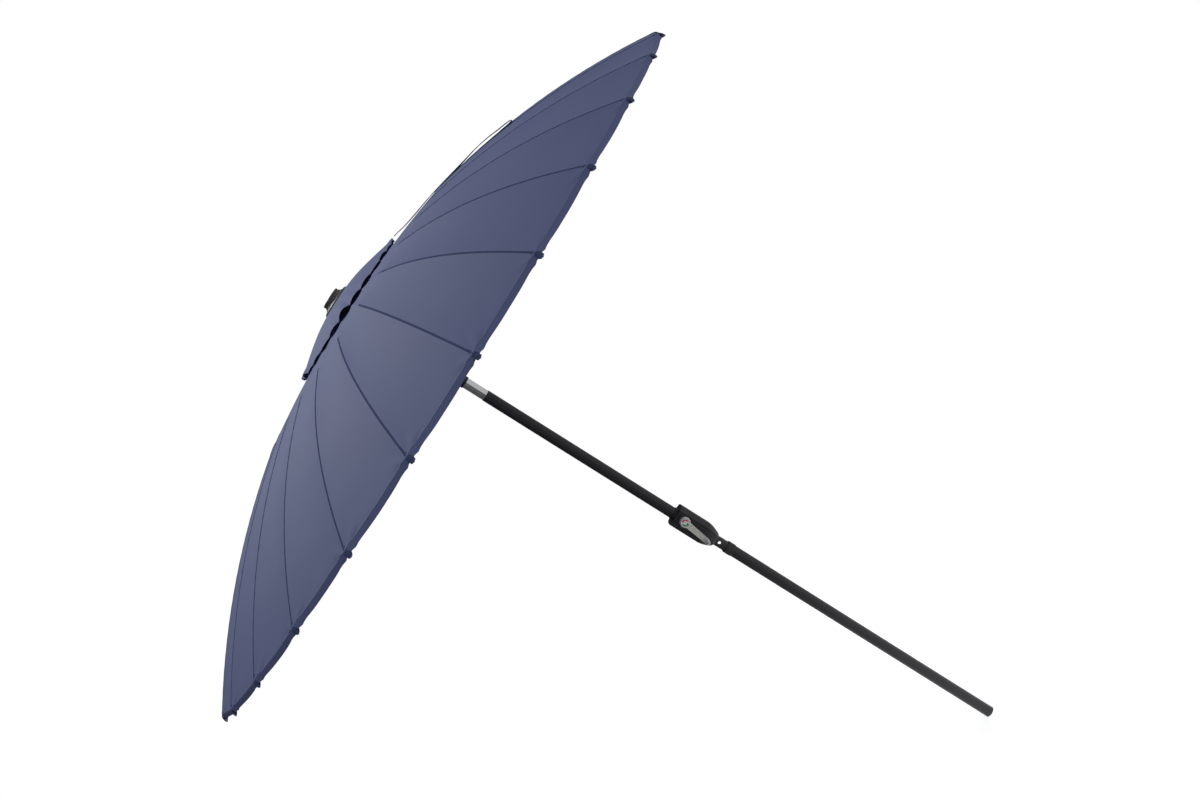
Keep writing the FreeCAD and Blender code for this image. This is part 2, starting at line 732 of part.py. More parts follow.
def build_finial():
    """The stepped cap on top, with a recess in its crown."""
    base = D.finial_d / 2
    low = D.vent_top + D.cloth_thick
    top = D.finial_top
    stud = D.stud_d / 2
    return turned("finial", [
        (stud, low), (base, low), (base, low + 3), (base - 2, low + 6),
        (base - 16.5, low + 7), (base - 18, low + 9), (base - 21, top - 8),
        (base - 24, top - 1.5), (base - 27, top), (24, top), (21, top - 6),
        (0, top - 6), (0, D.vent_top + 14), (stud, D.vent_top + 14),
    ])


# --- ribs, struts and cloth ----------------------------------------------------------


class RibArc:
    """The circle that a rib's rod follows, in the XZ plane at rest."""

    def __init__(self):
        hub = Vector(D.pivot_reach.value, 0, D.hub_z.value)
        tip = Vector(D.rib_tip_reach.value, 0, D.rib_tip_z.value)
        chord = tip - hub
        sagitta = D.rib_sagitta.value
        self.radius = (chord.Length ** 2 / 4 + sagitta ** 2) / (2 * sagitta)
        along = Vector(chord).normalize()
        outward = Vector(-along.z, 0, along.x)
        middle = (hub + tip) * 0.5
        self.centre = middle - outward * (self.radius - sagitta)
        self.start = math.atan2(hub.z - self.centre.z, hub.x - self.centre.x)
        self.length = 2 * self.radius * math.asin(chord.Length / 2 / self.radius)
        self.chord = chord
        self.hub = hub

    def direction(self, arc):
        """Unit vector from the circle's centre to the rod at an arc length."""
        angle = self.start - arc / self.radius
        return Vector(math.cos(angle), 0, math.sin(angle))

    def point(self, arc, lift=0.0):
        """The rod's axis at an arc length, raised outwards by lift."""
        return self.centre + self.direction(arc) * (self.radius + lift)

    def tangent(self, arc):
        """Unit vector along the rod towards its tip."""
        outward = self.direction(arc)
        return Vector(outward.z, 0, -outward.x)

    def rod(self, radius, first, last):
        """A round bar along the arc between two arc lengths."""
        circle = Part.makeCircle(radius, self.point(first), self.tangent(first))
        sweep = math.degrees((last - first) / self.radius)
        return Part.Face(Part.Wire(circle)).revolve(self.centre, Vector(0, 1, 0), sweep)

    def shell_point(self, reach, lift):
        """The point over the rod's circle at a given distance from the pole's axis."""
        radius = self.radius + lift
        rise = math.sqrt(radius ** 2 - (reach - self.centre.x) ** 2)
        return Vector(reach, 0, self.centre.z + rise)


ARC = RibArc()


def rib_azimuth(number):
    """Direction of a rib about Z from +X, in degrees."""
    turn = D.rib_phase.value + 360.0 / D.rib_count.value * (number - 1)
    return -90.0 - turn


def cross_bar(radius, half, at):
    """A short cylinder along Y about a point."""
    return Part.makeCylinder(radius, 2 * half, at - Vector(0, half, 0), Vector(0, 1, 0))


def flat_bar(start, along, length, half_thick, half_tall):
    """A flat bar from a point along a direction in the XZ plane."""
    bar = Part.makeBox(length, 2 * half_thick, 2 * half_tall,
                       Vector(0, -half_thick, -half_tall))
    lean = math.degrees(math.atan2(-along.z, along.x))
    bar.rotate(Vector(0, 0, 0), Vector(0, 1, 0), lean)
    bar.translate(start)
    return bar


def rib_shape():
    """One rib at azimuth 0: rod, hinge fitting, strut saddle and tip cap."""
    hole_r = D.ring_d.value / 2 + RING_CLEARANCE
    hub = ARC.point(0)
    rod = ARC.rod(D.rib_d.value / 2, 12, ARC.length)
    eye = cross_bar(4.0, 2.4, hub)
    tang = flat_bar(hub, ARC.tangent(0), 14, 2.4, 3.5)
    ferrule = ARC.rod(4.0, 12, 38)
    fitting = eye.fuse([tang, ferrule]).cut(rod).cut(cross_bar(hole_r, 5, hub))
    seat = D.strut_arc.value
    joint = ARC.point(seat, -D.strut_drop.value)
    down = -ARC.direction(seat)
    lug = flat_bar(ARC.point(seat), down, D.strut_drop.value, 1.5, 4.0)
    sleeve = ARC.rod(4.6, seat - 8, seat + 8)
    saddle = sleeve.fuse([lug, cross_bar(4.0, 1.5, joint)])
    saddle = saddle.cut(rod).cut(cross_bar(1.3, 5, joint))
    ball = Part.makeSphere(5.2, ARC.point(ARC.length))
    cap = ARC.rod(4.4, ARC.length - 24, ARC.length).fuse([ball]).cut(rod)
    pieces = [rod]
    for piece in (fitting, saddle, cap):
        pieces += piece.removeSplitter().Solids
    return Part.makeCompound(pieces)


def strut_shape():
    """One strut at azimuth 0, from the runner's ring to the rib's saddle."""
    low = Vector(D.pivot_reach.value, 0, D.runner_z.value)
    high = ARC.point(D.strut_arc.value, -D.strut_drop.value)
    along = (high - low).normalize()
    length = (high - low).Length
    rod = Part.makeCylinder(D.strut_d.value / 2, length - 21, low + along * 9, along)
    tang = flat_bar(low, along, 12, 2.4, 3.0)
    eye = cross_bar(4.0, 2.4, low)
    block = flat_bar(high - along * 14, along, 7, 3.4, 3.0)
    fork = flat_bar(high - along * 8, along, 8, 3.4, 3.0)
    fork = fork.fuse([cross_bar(4.0, 3.4, high)]).cut(
        cross_bar(9.0, 1.8, high).cut(block))
    pin = cross_bar(1.2, 3.4, high)
    solid = rod.fuse([tang, eye, block, fork, pin])
    hole_r = D.ring_d.value / 2 + RING_CLEARANCE
    return solid.cut(cross_bar(hole_r, 5, low)).removeSplitter()


def feature(name, shape, azimuth=0.0):
    """A part of its own from a shape, turned about the pole's axis."""
    piece = DOC.addObject("Part::Feature", name)
    piece.Shape = shape
    piece.Placement = Placement(Vector(0, 0, 0), Rotation(Vector(0, 0, 1), azimuth))
    return piece


def build_ribs():
    """All the ribs, each a part of its own."""
    shape = rib_shape()
    count = int(D.rib_count.value)
    return [feature(f"rib_{number:02d}", shape, rib_azimuth(number))
            for number in range(1, count + 1)]


def build_struts():
    """All the struts, as separate solids of one part."""
    shape = strut_shape()
    solids = []
    for number in range(1, int(D.rib_count.value) + 1):
        solid = shape.Solids[0].copy()
        solid.rotate(Vector(0, 0, 0), Vector(0, 0, 1), rib_azimuth(number))
        solids.append(solid)
    return feature("struts", Part.makeCompound(solids))


def arc_edge(first, middle, last):
    """A circular edge through three points."""
    return Part.Arc(first, middle, last).toShape()


def band(inner, outer, low_lift, high_lift):
    """A closed face over the rod's circle between two radii and two lifts."""
    middle = (inner + outer) / 2
    below = [ARC.shell_point(reach, low_lift) for reach in (inner, middle, outer)]
    above = [ARC.shell_point(reach, high_lift) for reach in (outer, middle, inner)]
    edges = [
        arc_edge(*below),
        Part.LineSegment(below[2], above[0]).toShape(),
        arc_edge(*above),
        Part.LineSegment(above[2], below[0]).toShape(),
    ]
    return Part.Face(Part.Wire(edges))


def build_canopy():
    """The main cloth, from the vent opening to the rim."""
    lift = D.cloth_lift.value
    face = band(D.cloth_inner.value, D.cloth_outer.value, lift,
                lift + D.cloth_thick.value)
    return feature("canopy", face.revolve(Vector(0, 0, 0), Vector(0, 0, 1), 360))


def build_vent_cap():
    """The small cloth over the vent opening, clamped under the finial."""
    stud = D.stud_d / 2
    thick = D.cloth_thick
    return turned("vent_cap", [
        (stud, D.vent_top), (D.vent_flat, D.vent_top), (D.vent_reach, D.vent_rim),
        (D.vent_reach, D.vent_rim + thick), (D.vent_flat, D.vent_top + thick),
        (stud, D.vent_top + thick),
    ])


def build_tie_strap():
    """The closing strap, sewn on at both ends and standing off the cloth between."""
    base = D.cloth_lift.value + D.cloth_thick.value + 0.4
    thick = D.cloth_thick.value
    inner = ARC.shell_point(D.strap_inner.value, base)
    outer = ARC.shell_point(D.strap_outer.value, base)
    reach = (D.strap_inner.value + D.strap_outer.value) / 2
    crown = ARC.shell_point(reach, base + D.strap_lift.value)
    up = Vector(0, 0, thick)
    edges = [
        arc_edge(inner, crown, outer),
        Part.LineSegment(outer, outer + up).toShape(),
        arc_edge(outer + up, crown + up, inner + up),
        Part.LineSegment(inner + up, inner).toShape(),
    ]
    half = D.strap_wide.value / 2
    face = Part.Face(Part.Wire(edges))
    face.translate(Vector(0, -half, 0))
    return feature("tie_strap", face.extrude(Vector(0, 2 * half, 0)),
                   rib_azimuth(STRAP_RIB))


# --- assembly ------------------------------------------------------------------------


def build_all():
    """Every part of the parasol, from the foot up."""
    parts = [
        build_lower_pole(), build_foot_plug(), build_pole_collar(),
        build_coupling_stub(), build_snap_button(), build_snap_spring(),
        build_upper_pole(), *build_housing(), build_housing_screws(),
        build_crank_shaft(), build_crank_spool(), build_crank_arm(),
        build_crank_badge(), build_knob_pin(), build_crank_knob(),
        build_spigot_tube(), build_tilt_fork(), build_tilt_tongue(),
        build_tilt_pin(), build_tilt_button(), build_button_spring(),
        build_runner(), ring_wire("runner_ring", D.runner_z), build_struts(),
        build_hub(), ring_wire("hub_ring", D.hub_z),
        tube("mast", POLE_R, POLE_BORE, D.mast_low, D.mast_top),
        build_finial(), *build_ribs(),
        build_canopy(), build_vent_cap(), build_tie_strap(),
    ]
    DOC.recompute()
    return parts


def check(parts):
    """Stops the build if any object failed or any part isn't a valid solid."""
    for thing in DOC.Objects:
        if "Invalid" in thing.State or "Error" in thing.State:
            raise RuntimeError(f"{thing.Name} failed: {thing.State}")
    for piece in parts:
        shape = piece.Shape
        if shape.isNull() or not shape.isValid() or not shape.Solids:
            raise RuntimeError(f"{piece.Label} isn't a valid solid")
        if min(solid.Volume for solid in shape.Solids) <= 0:
            raise RuntimeError(f"{piece.Label} has a solid with no volume")


def write(parts):
    """Writes one STEP file for each part."""
    os.makedirs("parts", exist_ok=True)
    for piece in parts:
        piece.Shape.exportStep(f"parts/{piece.Label}.step")


def report_motion():
    """Prints the fold of the ribs and the runner's travel that goes with it."""
    fold = math.radians(72.5)
    joint = ARC.point(D.strut_arc.value, -D.strut_drop.value) - ARC.hub
    pivot = Vector(D.pivot_reach.value, 0, D.runner_z.value) - ARC.hub
    length = (joint - pivot).Length
    reach = joint.x * math.cos(fold) + joint.z * math.sin(fold)
    height = -joint.x * math.sin(fold) + joint.z * math.cos(fold)
    closed = height - math.sqrt(length ** 2 - (reach - pivot.x) ** 2)
    travel = pivot.z - closed
    print(f"rib arc radius {ARC.radius:.1f}, length {ARC.length:.1f}, strut {length:.1f}")
    print(f"runner travel {travel:.2f} mm for {math.degrees(fold):.1f} degrees")
    print(f"ribs turn {fold / travel * 1000:.5f} rad per metre of the runner")


PARTS = build_all()
check(PARTS)
write(PARTS)
report_motion()
print(f"{len(PARTS)} parts written")
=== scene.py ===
import json
import logging
import math
import random
from dataclasses import dataclass, field
from enum import Enum
from typing import Callable, Optional, Sequence, Union

import bpy
from mathutils import Matrix, Vector, noise


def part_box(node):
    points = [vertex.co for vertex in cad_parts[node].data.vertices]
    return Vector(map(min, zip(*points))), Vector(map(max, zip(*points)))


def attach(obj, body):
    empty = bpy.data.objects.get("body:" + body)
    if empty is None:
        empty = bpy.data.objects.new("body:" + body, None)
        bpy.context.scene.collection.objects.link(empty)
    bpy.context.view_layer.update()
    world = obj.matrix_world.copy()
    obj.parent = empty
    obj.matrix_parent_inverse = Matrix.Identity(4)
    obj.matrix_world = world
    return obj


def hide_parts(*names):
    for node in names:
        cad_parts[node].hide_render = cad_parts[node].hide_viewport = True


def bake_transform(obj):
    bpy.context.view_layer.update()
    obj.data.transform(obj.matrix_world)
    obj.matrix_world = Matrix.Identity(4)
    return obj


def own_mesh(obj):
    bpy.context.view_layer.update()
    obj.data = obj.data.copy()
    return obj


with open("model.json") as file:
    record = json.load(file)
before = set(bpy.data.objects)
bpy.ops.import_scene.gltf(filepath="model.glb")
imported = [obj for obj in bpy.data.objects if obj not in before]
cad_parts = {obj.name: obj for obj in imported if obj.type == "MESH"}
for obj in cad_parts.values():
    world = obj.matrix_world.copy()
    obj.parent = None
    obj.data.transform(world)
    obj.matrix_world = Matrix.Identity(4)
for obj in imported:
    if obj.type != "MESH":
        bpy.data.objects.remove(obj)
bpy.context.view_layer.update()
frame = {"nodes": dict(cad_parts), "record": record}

LOG = logging.getLogger("parasol")
TURN = 2 * math.pi
CORNER_SHARE = 0.45  # the most of a side that a rounded corner may take
BUMP_STRENGTH = 0.6
MARK_STRENGTH = 0.5
WEAVE_STRENGTH = 0.7
COAT_ROUGHNESS = 0.15
BRUSHED_WEAR = 0.4
CLOTH_IOR = 1.1
SHEEN_ROUGHNESS = 0.45
Colour = tuple[float, float, float]
Ring = list[Vector]


# --- named options ---------------------------------------------------------------------


class Held(Enum):
    """How a sheet of cloth is held."""

    STRETCHED = "stretched"
    LAID = "laid"


class Side(Enum):
    """The two faces of the housing."""

    FRONT = -1
    REAR = 1


class Run(Enum):
    """The direction that brush marks run in, as how fine they are along X, Y and Z."""

    ALONG_X = (90.0, 900.0, 900.0)
    ALONG_Z = (900.0, 900.0, 12.0)
    ROUND_Z = (60.0, 60.0, 1500.0)


# --- meshes ----------------------------------------------------------------------------


def polar(azimuth: float, reach: float, side: float, height: float) -> Vector:
    """A point given from the pole's axis.

    Args:
        azimuth: Direction from +X about Z, in radians.
        reach: Distance from the axis in that direction.
        side: Distance sideways, towards growing azimuth.
        height: Height over the pole's foot.

    Returns:
        The point in the row frame.
    """
    cos, sin = math.cos(azimuth), math.sin(azimuth)
    return Vector((reach * cos - side * sin, reach * sin + side * cos, height))


def smooth(value: float) -> float:
    """A soft step from 0 to 1 as value goes from 0 to 1."""
    held = min(1.0, max(0.0, value))
    return held * held * (3 - 2 * held)


def bell(distance: float, width: float) -> float:
    """A bump that is 1 at no distance and fades over a width."""
    return math.exp(-((distance / width) ** 2))


def mesh_object(
    name: str,
    points: Sequence[Vector],
    faces: Sequence[Sequence[int]],
    uvs: Optional[Sequence[tuple[float, float]]] = None,
    sharp: float = 40.0,
) -> bpy.types.Object:
    """An object with a smooth-shaded mesh.

    Args:
        name: The piece's name.
        points: Its corners in the row frame.
        faces: Corner numbers of each face.
        uvs: A place on the flat cloth for each corner, in metres.
        sharp: Edges that turn by more than this many degrees stay sharp.

    Returns:
        The new object, linked to the scene.
    """
    mesh = bpy.data.meshes.new(name)
    mesh.from_pydata([tuple(point) for point in points], [], [list(face) for face in faces])
    mesh.validate()
    mesh.polygons.foreach_set("use_smooth", [True] * len(mesh.polygons))
    mesh.set_sharp_from_angle(angle=math.radians(sharp))
    if uvs is not None:
        layer = mesh.uv_layers.new(name="flat")
        for loop in mesh.loops:
            layer.data[loop.index].uv = uvs[loop.vertex_index]
    mesh.update()
    thing = bpy.data.objects.new(name, mesh)
    bpy.context.scene.collection.objects.link(thing)
    return thing


def closed_sheet(
    name: str,
    rows: int,
    columns: int,
    place: Callable[[int, int, float], Vector],
    thickness: float,
    flat: Callable[[int, int], tuple[float, float]],
) -> bpy.types.Object:
    """A thin closed sheet over a grid.

    Args:
        name: The piece's name.
        rows: Number of rows of points.
        columns: Number of points in a row.
        place: The point of a row and a column, sunk by a depth.
        thickness: Thickness of the sheet.
        flat: The place of a row and a column on the flat cloth.

    Returns:
        The new object.
    """
    cells = [(i, j) for i in range(rows) for j in range(columns)]
    points = [place(i, j, depth) for depth in (0.0, thickness) for i, j in cells]
    uvs = [flat(i, j) for _ in range(2) for i, j in cells]
    below = rows * columns
    faces = []
    for i in range(rows - 1):
        for j in range(columns - 1):
            quad = [i * columns + j, i * columns + j + 1,
                    (i + 1) * columns + j + 1, (i + 1) * columns + j]
            faces.append(quad)
            faces.append([corner + below for corner in reversed(quad)])
    rim = list(range(columns))
    rim += [i * columns + columns - 1 for i in range(1, rows)]
    rim += [(rows - 1) * columns + j for j in range(columns - 2, -1, -1)]
    rim += [i * columns for i in range(rows - 2, 0, -1)]
    for first, second in zip(rim, rim[1:] + rim[:1]):
        faces.append([second, first, first + below, second + below])
    return mesh_object(name, points, faces, uvs)


def loft(name: str, rings: Sequence[Ring], sharp: float = 35.0,
         capped: bool = True) -> bpy.types.Object:
    """A closed skin through rings that have the same number of points.

    Args:
        name: The piece's name.
        rings: The rings in order.
        sharp: Edges that turn by more than this many degrees stay sharp.
        capped: Whether the two ends are closed, or the last ring joins the first.

    Returns:
        The new object.
    """
    count = len(rings[0])
    points = [point for ring in rings for point in ring]
    faces = []
    spans = len(rings) - 1 if capped else len(rings)
    for i in range(spans):
        low, high = i * count, (i + 1) % len(rings) * count
        for j in range(count):
            k = (j + 1) % count
            faces.append([low + j, low + k, high + k, high + j])
    if capped:
        faces.append(list(range(count - 1, -1, -1)))
        faces.append([(len(rings) - 1) * count + j for j in range(count)])
    return mesh_object(name, points, faces, sharp=sharp)


def turned(
    name: str,
    outline: Sequence[tuple[float, float]],
    steps: int = 96,
    shape: Optional[Callable[[float, float, float], float]] = None,
    place: Optional[Matrix] = None,
    sharp: float = 35.0,
) -> bpy.types.Object:
    """A turned piece about the Z axis.

    Args:
        name: The piece's name.
        outline: A closed outline of (radius, height) corners.
        steps: Number of steps round the axis.
        shape: Changes a radius, given its azimuth and height.
        place: Where the turned piece goes.
        sharp: Edges that turn by more than this many degrees stay sharp.

    Returns:
        The new object.
    """
    rings = []
    for step in range(steps):
        azimuth = TURN * step / steps
        ring = []
        for radius, height in outline:
            wide = shape(radius, azimuth, height) if shape else radius
            point = polar(azimuth, wide, 0.0, height)
            ring.append(place @ point if place else point)
        rings.append(ring)
    return loft(name, rings, sharp, capped=False)


def rounded(outline: Sequence[tuple[float, float]], radius: float,
            steps: int = 3) -> list[tuple[float, float]]:
    """An outline with each corner rounded.

    Args:
        outline: The corners of a closed outline.
        radius: How far from a corner its curve starts, at most.
        steps: Number of steps in each curve.

    Returns:
        The new corners.
    """
    made = []
    count = len(outline)
    for index, corner in enumerate(outline):
        here = Vector(corner)
        before = Vector(outline[index - 1]) - here
        after = Vector(outline[(index + 1) % count]) - here
        cut = min(radius, before.length * CORNER_SHARE, after.length * CORNER_SHARE)
        start = here + before.normalized() * cut
        end = here + after.normalized() * cut
        for step in range(steps + 1):
            t = step / steps
            point = start * (1 - t) ** 2 + here * 2 * t * (1 - t) + end * t ** 2
            made.append((point.x, point.y))
    return made


def swept(
    name: str,
    path: Sequence[Vector],
    sideways: Vector,
    halves: Sequence[tuple[float, float]],
    sides: int = 12,
    square: float = 1.0,
) -> bpy.types.Object:
    """A bar along a path.

    Args:
        name: The piece's name.
        path: The middle of each ring.
        sideways: The direction of the bar's width.
        halves: Half of the width and half of the height at each ring.
        sides: Number of points in a ring.
        square: 1 for an oval section, less for a squarer one.

    Returns:
        The new object.
    """
    rings = []
    last = len(path) - 1
    for index, middle in enumerate(path):
        along = (path[min(index + 1, last)] - path[max(index - 1, 0)]).normalized()
        up = sideways.cross(along).normalized()
        wide, tall = halves[index]
        ring = []
        for side in range(sides):
            angle = TURN * (side + 0.5) / sides
            cos, sin = math.cos(angle), math.sin(angle)
            across = math.copysign(abs(cos) ** square, cos) * wide
            upward = math.copysign(abs(sin) ** square, sin) * tall
            ring.append(middle + sideways * across + up * upward)
        rings.append(ring)
    return loft(name, rings)


def curve_through(points: Sequence[tuple[float, float]], steps: int) -> list[tuple[float, float]]:
    """A smooth line through points in a plane.

    Args:
        points: The points.
        steps: Number of steps from one point to the next.

    Returns:
        The points of the line.
    """
    ends = [points[0], *points, points[-1]]
    line = []
    for index in range(1, len(ends) - 2):
        a, b, c, d = (Vector(ends[index + shift]) for shift in (-1, 0, 1, 2))
        for step in range(steps):
            t = step / steps
            point = 0.5 * (2 * b + (c - a) * t + (2 * a - 5 * b + 4 * c - d) * t ** 2
                           + (3 * b - a - 3 * c + d) * t ** 3)
            line.append((point.x, point.y))
    line.append(tuple(points[-1]))
    return line


# --- node groups and finishes ------------------------------------------------------------


class Graph:
    """A node tree that is being wired."""

    def __init__(self, tree: bpy.types.NodeTree) -> None:
        """Keep the tree and start it empty."""
        self.tree = tree
        tree.nodes.clear()

    def add(self, kind: str, feeds: Optional[dict] = None, **settings: object) -> bpy.types.Node:
        """Add a node.

        Args:
            kind: The node's type.
            feeds: A value, or a socket to link, for inputs by name or number.
            settings: The node's own settings.

        Returns:
            The new node.
        """
        node = self.tree.nodes.new(kind)
        for key, value in settings.items():
            setattr(node, key, value)
        for key, value in (feeds or {}).items():
            self.feed(node.inputs[key], value)
        return node

    def feed(self, socket: bpy.types.NodeSocket, value: object) -> None:
        """Link a socket to another, or set its own value."""
        if isinstance(value, bpy.types.NodeSocket):
            self.tree.links.new(value, socket)
        elif isinstance(value, tuple) and len(value) == 3 and socket.type == "RGBA":
            socket.default_value = (*value, 1.0)
        else:
            socket.default_value = value

    def math(self, operation: str, *values: object) -> bpy.types.NodeSocket:
        """The result of a Math node on values or sockets."""
        feeds = dict(enumerate(values))
        return self.add("ShaderNodeMath", feeds, operation=operation).outputs[0]

    def mix(self, share: object, first: object, second: object) -> bpy.types.NodeSocket:
        """Two colours mixed by a share."""
        node = self.add("ShaderNodeMix", data_type="RGBA")
        self.feed(node.inputs[0], share)
        self.feed(node.inputs[6], first)
        self.feed(node.inputs[7], second)
        return node.outputs[2]

    def spread(self, value: object, low: object, high: object, start: float = 0.3,
               end: float = 0.7) -> bpy.types.NodeSocket:
        """A value between start and end, mapped to low and high."""
        node = self.add("ShaderNodeMapRange", {
            "Value": value, "From Min": start, "From Max": end,
            "To Min": low, "To Max": high})
        return node.outputs[0]


def new_group(name: str, inputs: Sequence[tuple[str, str, object]],
              outputs: Sequence[tuple[str, str]]) -> tuple[Graph, bpy.types.Node, bpy.types.Node]:
    """An empty shader node group.

    Args:
        name: The group's name.
        inputs: Name, socket kind and default value of each input.
        outputs: Name and socket kind of each output.

    Returns:
        Its graph, its input node and its output node.
    """
    tree = bpy.data.node_groups.new(name, "ShaderNodeTree")
    graph = Graph(tree)
    for label, kind, value in inputs:
        socket = tree.interface.new_socket(label, in_out="INPUT", socket_type=kind)
        socket.default_value = (*value, 1.0) if isinstance(value, tuple) else value
    for label, kind in outputs:
        tree.interface.new_socket(label, in_out="OUTPUT", socket_type=kind)
    return graph, graph.add("NodeGroupInput"), graph.add("NodeGroupOutput")


FLOAT, RGBA = "NodeSocketFloat", "NodeSocketColor"


@dataclass
class Effects:
    """The shader node groups that the finishes share."""

    grain: bpy.types.NodeTree = field(init=False)
    wear: bpy.types.NodeTree = field(init=False)
    weave: bpy.types.NodeTree = field(init=False)
    fade: bpy.types.NodeTree = field(init=False)

    def __post_init__(self) -> None:
        """Build every group once."""
        self.grain = self.build_grain()
        self.wear = self.build_wear()
        self.weave = self.build_weave()
        self.fade = self.build_fade()

    def build_grain(self) -> bpy.types.NodeTree:
        """Cloudy colour, uneven roughness and a fine grain."""
        graph, given, out = new_group(
            "surface_grain",
            [("Colour", RGBA, (0.5, 0.5, 0.5)), ("Tint", RGBA, (0.6, 0.6, 0.6)),
             ("Cloud Scale", FLOAT, 12.0), ("Grain Scale", FLOAT, 900.0),
             ("Smoothest", FLOAT, 0.3), ("Roughest", FLOAT, 0.5)],
            [("Colour", RGBA), ("Roughness", FLOAT), ("Height", FLOAT)])
        place = graph.add("ShaderNodeTexCoord").outputs["Object"]
        cloud = graph.add("ShaderNodeTexNoise", {
            "Vector": place, "Scale": given.outputs["Cloud Scale"], "Detail": 5.0})
        grain = graph.add("ShaderNodeTexNoise", {
            "Vector": place, "Scale": given.outputs["Grain Scale"], "Detail": 3.0})
        share = graph.spread(cloud.outputs["Fac"], 0.0, 1.0)
        graph.feed(out.inputs["Colour"], graph.mix(
            share, given.outputs["Colour"], given.outputs["Tint"]))
        both = graph.math("ADD", graph.math("MULTIPLY", cloud.outputs["Fac"], 0.6),
                          graph.math("MULTIPLY", grain.outputs["Fac"], 0.4))
        graph.feed(out.inputs["Roughness"], graph.spread(
            both, given.outputs["Smoothest"], given.outputs["Roughest"]))
        graph.feed(out.inputs["Height"], grain.outputs["Fac"])
        return graph.tree

    def build_wear(self) -> bpy.types.NodeTree:
        """Lighter, broken edges where hands and straps rub."""
        graph, given, out = new_group(
            "edge_wear",
            [("Colour", RGBA, (0.5, 0.5, 0.5)), ("Worn", RGBA, (0.7, 0.7, 0.7)),
             ("Amount", FLOAT, 0.5)],
            [("Colour", RGBA)])
        point = graph.add("ShaderNodeNewGeometry").outputs["Pointiness"]
        place = graph.add("ShaderNodeTexCoord").outputs["Object"]
        broken = graph.add("ShaderNodeTexNoise", {"Vector": place, "Scale": 160.0, "Detail": 6.0})
        edge = graph.spread(point, 0.0, 1.0, 0.52, 0.62)
        mask = graph.math("MULTIPLY", graph.math("MULTIPLY", edge, given.outputs["Amount"]),
                          graph.spread(broken.outputs["Fac"], 0.0, 1.0, 0.4, 0.62))
        graph.feed(out.inputs["Colour"], graph.mix(
            mask, given.outputs["Colour"], given.outputs["Worn"]))
        return graph.tree

    def build_weave(self) -> bpy.types.NodeTree:
        """A plain weave that follows the flat cloth."""
        graph, given, out = new_group(
            "plain_weave", [("Threads", FLOAT, 1500.0)],
            [("Height", FLOAT), ("Thread", FLOAT)])
        flat = graph.add("ShaderNodeUVMap", uv_map="flat").outputs[0]
        split = graph.add("ShaderNodeSeparateXYZ", {"Vector": flat})
        waves = []
        for axis in ("X", "Y"):
            turn = graph.math("MULTIPLY", split.outputs[axis], given.outputs["Threads"])
            waves.append(graph.math("SINE", graph.math("MULTIPLY", turn, TURN)))
        height = graph.math("MULTIPLY", waves[0], waves[1])
        graph.feed(out.inputs["Height"], height)
        slub = graph.add("ShaderNodeTexNoise", {"Scale": 240.0, "Detail": 3.0})
        stretch = graph.add("ShaderNodeVectorMath", {0: flat, 1: (1.0, 6.0, 1.0)},
                            operation="MULTIPLY")
        graph.feed(slub.inputs["Vector"], stretch.outputs[0])
        graph.feed(out.inputs["Thread"], slub.outputs["Fac"])
        return graph.tree

    def build_fade(self) -> bpy.types.NodeTree:
        """Cloth paler in soft patches, as sun and creases leave it."""
        graph, given, out = new_group(
            "cloth_fade",
            [("Colour", RGBA, (0.1, 0.1, 0.3)), ("Pale", RGBA, (0.2, 0.2, 0.4)),
             ("Scale", FLOAT, 3.0), ("Amount", FLOAT, 0.6)],
            [("Colour", RGBA), ("Patch", FLOAT)])
        place = graph.add("ShaderNodeTexCoord").outputs["Object"]
        patch = graph.add("ShaderNodeTexNoise", {
            "Vector": place, "Scale": given.outputs["Scale"], "Detail": 6.0, "Roughness": 0.62})
        mask = graph.math("MULTIPLY", graph.spread(patch.outputs["Fac"], 0.0, 1.0),
                          given.outputs["Amount"])
        graph.feed(out.inputs["Colour"], graph.mix(
            mask, given.outputs["Colour"], given.outputs["Pale"]))
        graph.feed(out.inputs["Patch"], mask)
        return graph.tree


def start_material(name: str, metal: float) -> tuple[Graph, bpy.types.Node]:
    """A material with a Principled shader wired to its output."""
    material = bpy.data.materials.new(name)
    material.use_nodes = True
    graph = Graph(material.node_tree)
    shader = graph.add("ShaderNodeBsdfPrincipled", {"Metallic": metal})
    graph.add("ShaderNodeOutputMaterial", {"Surface": shader.outputs[0]})
    return graph, shader


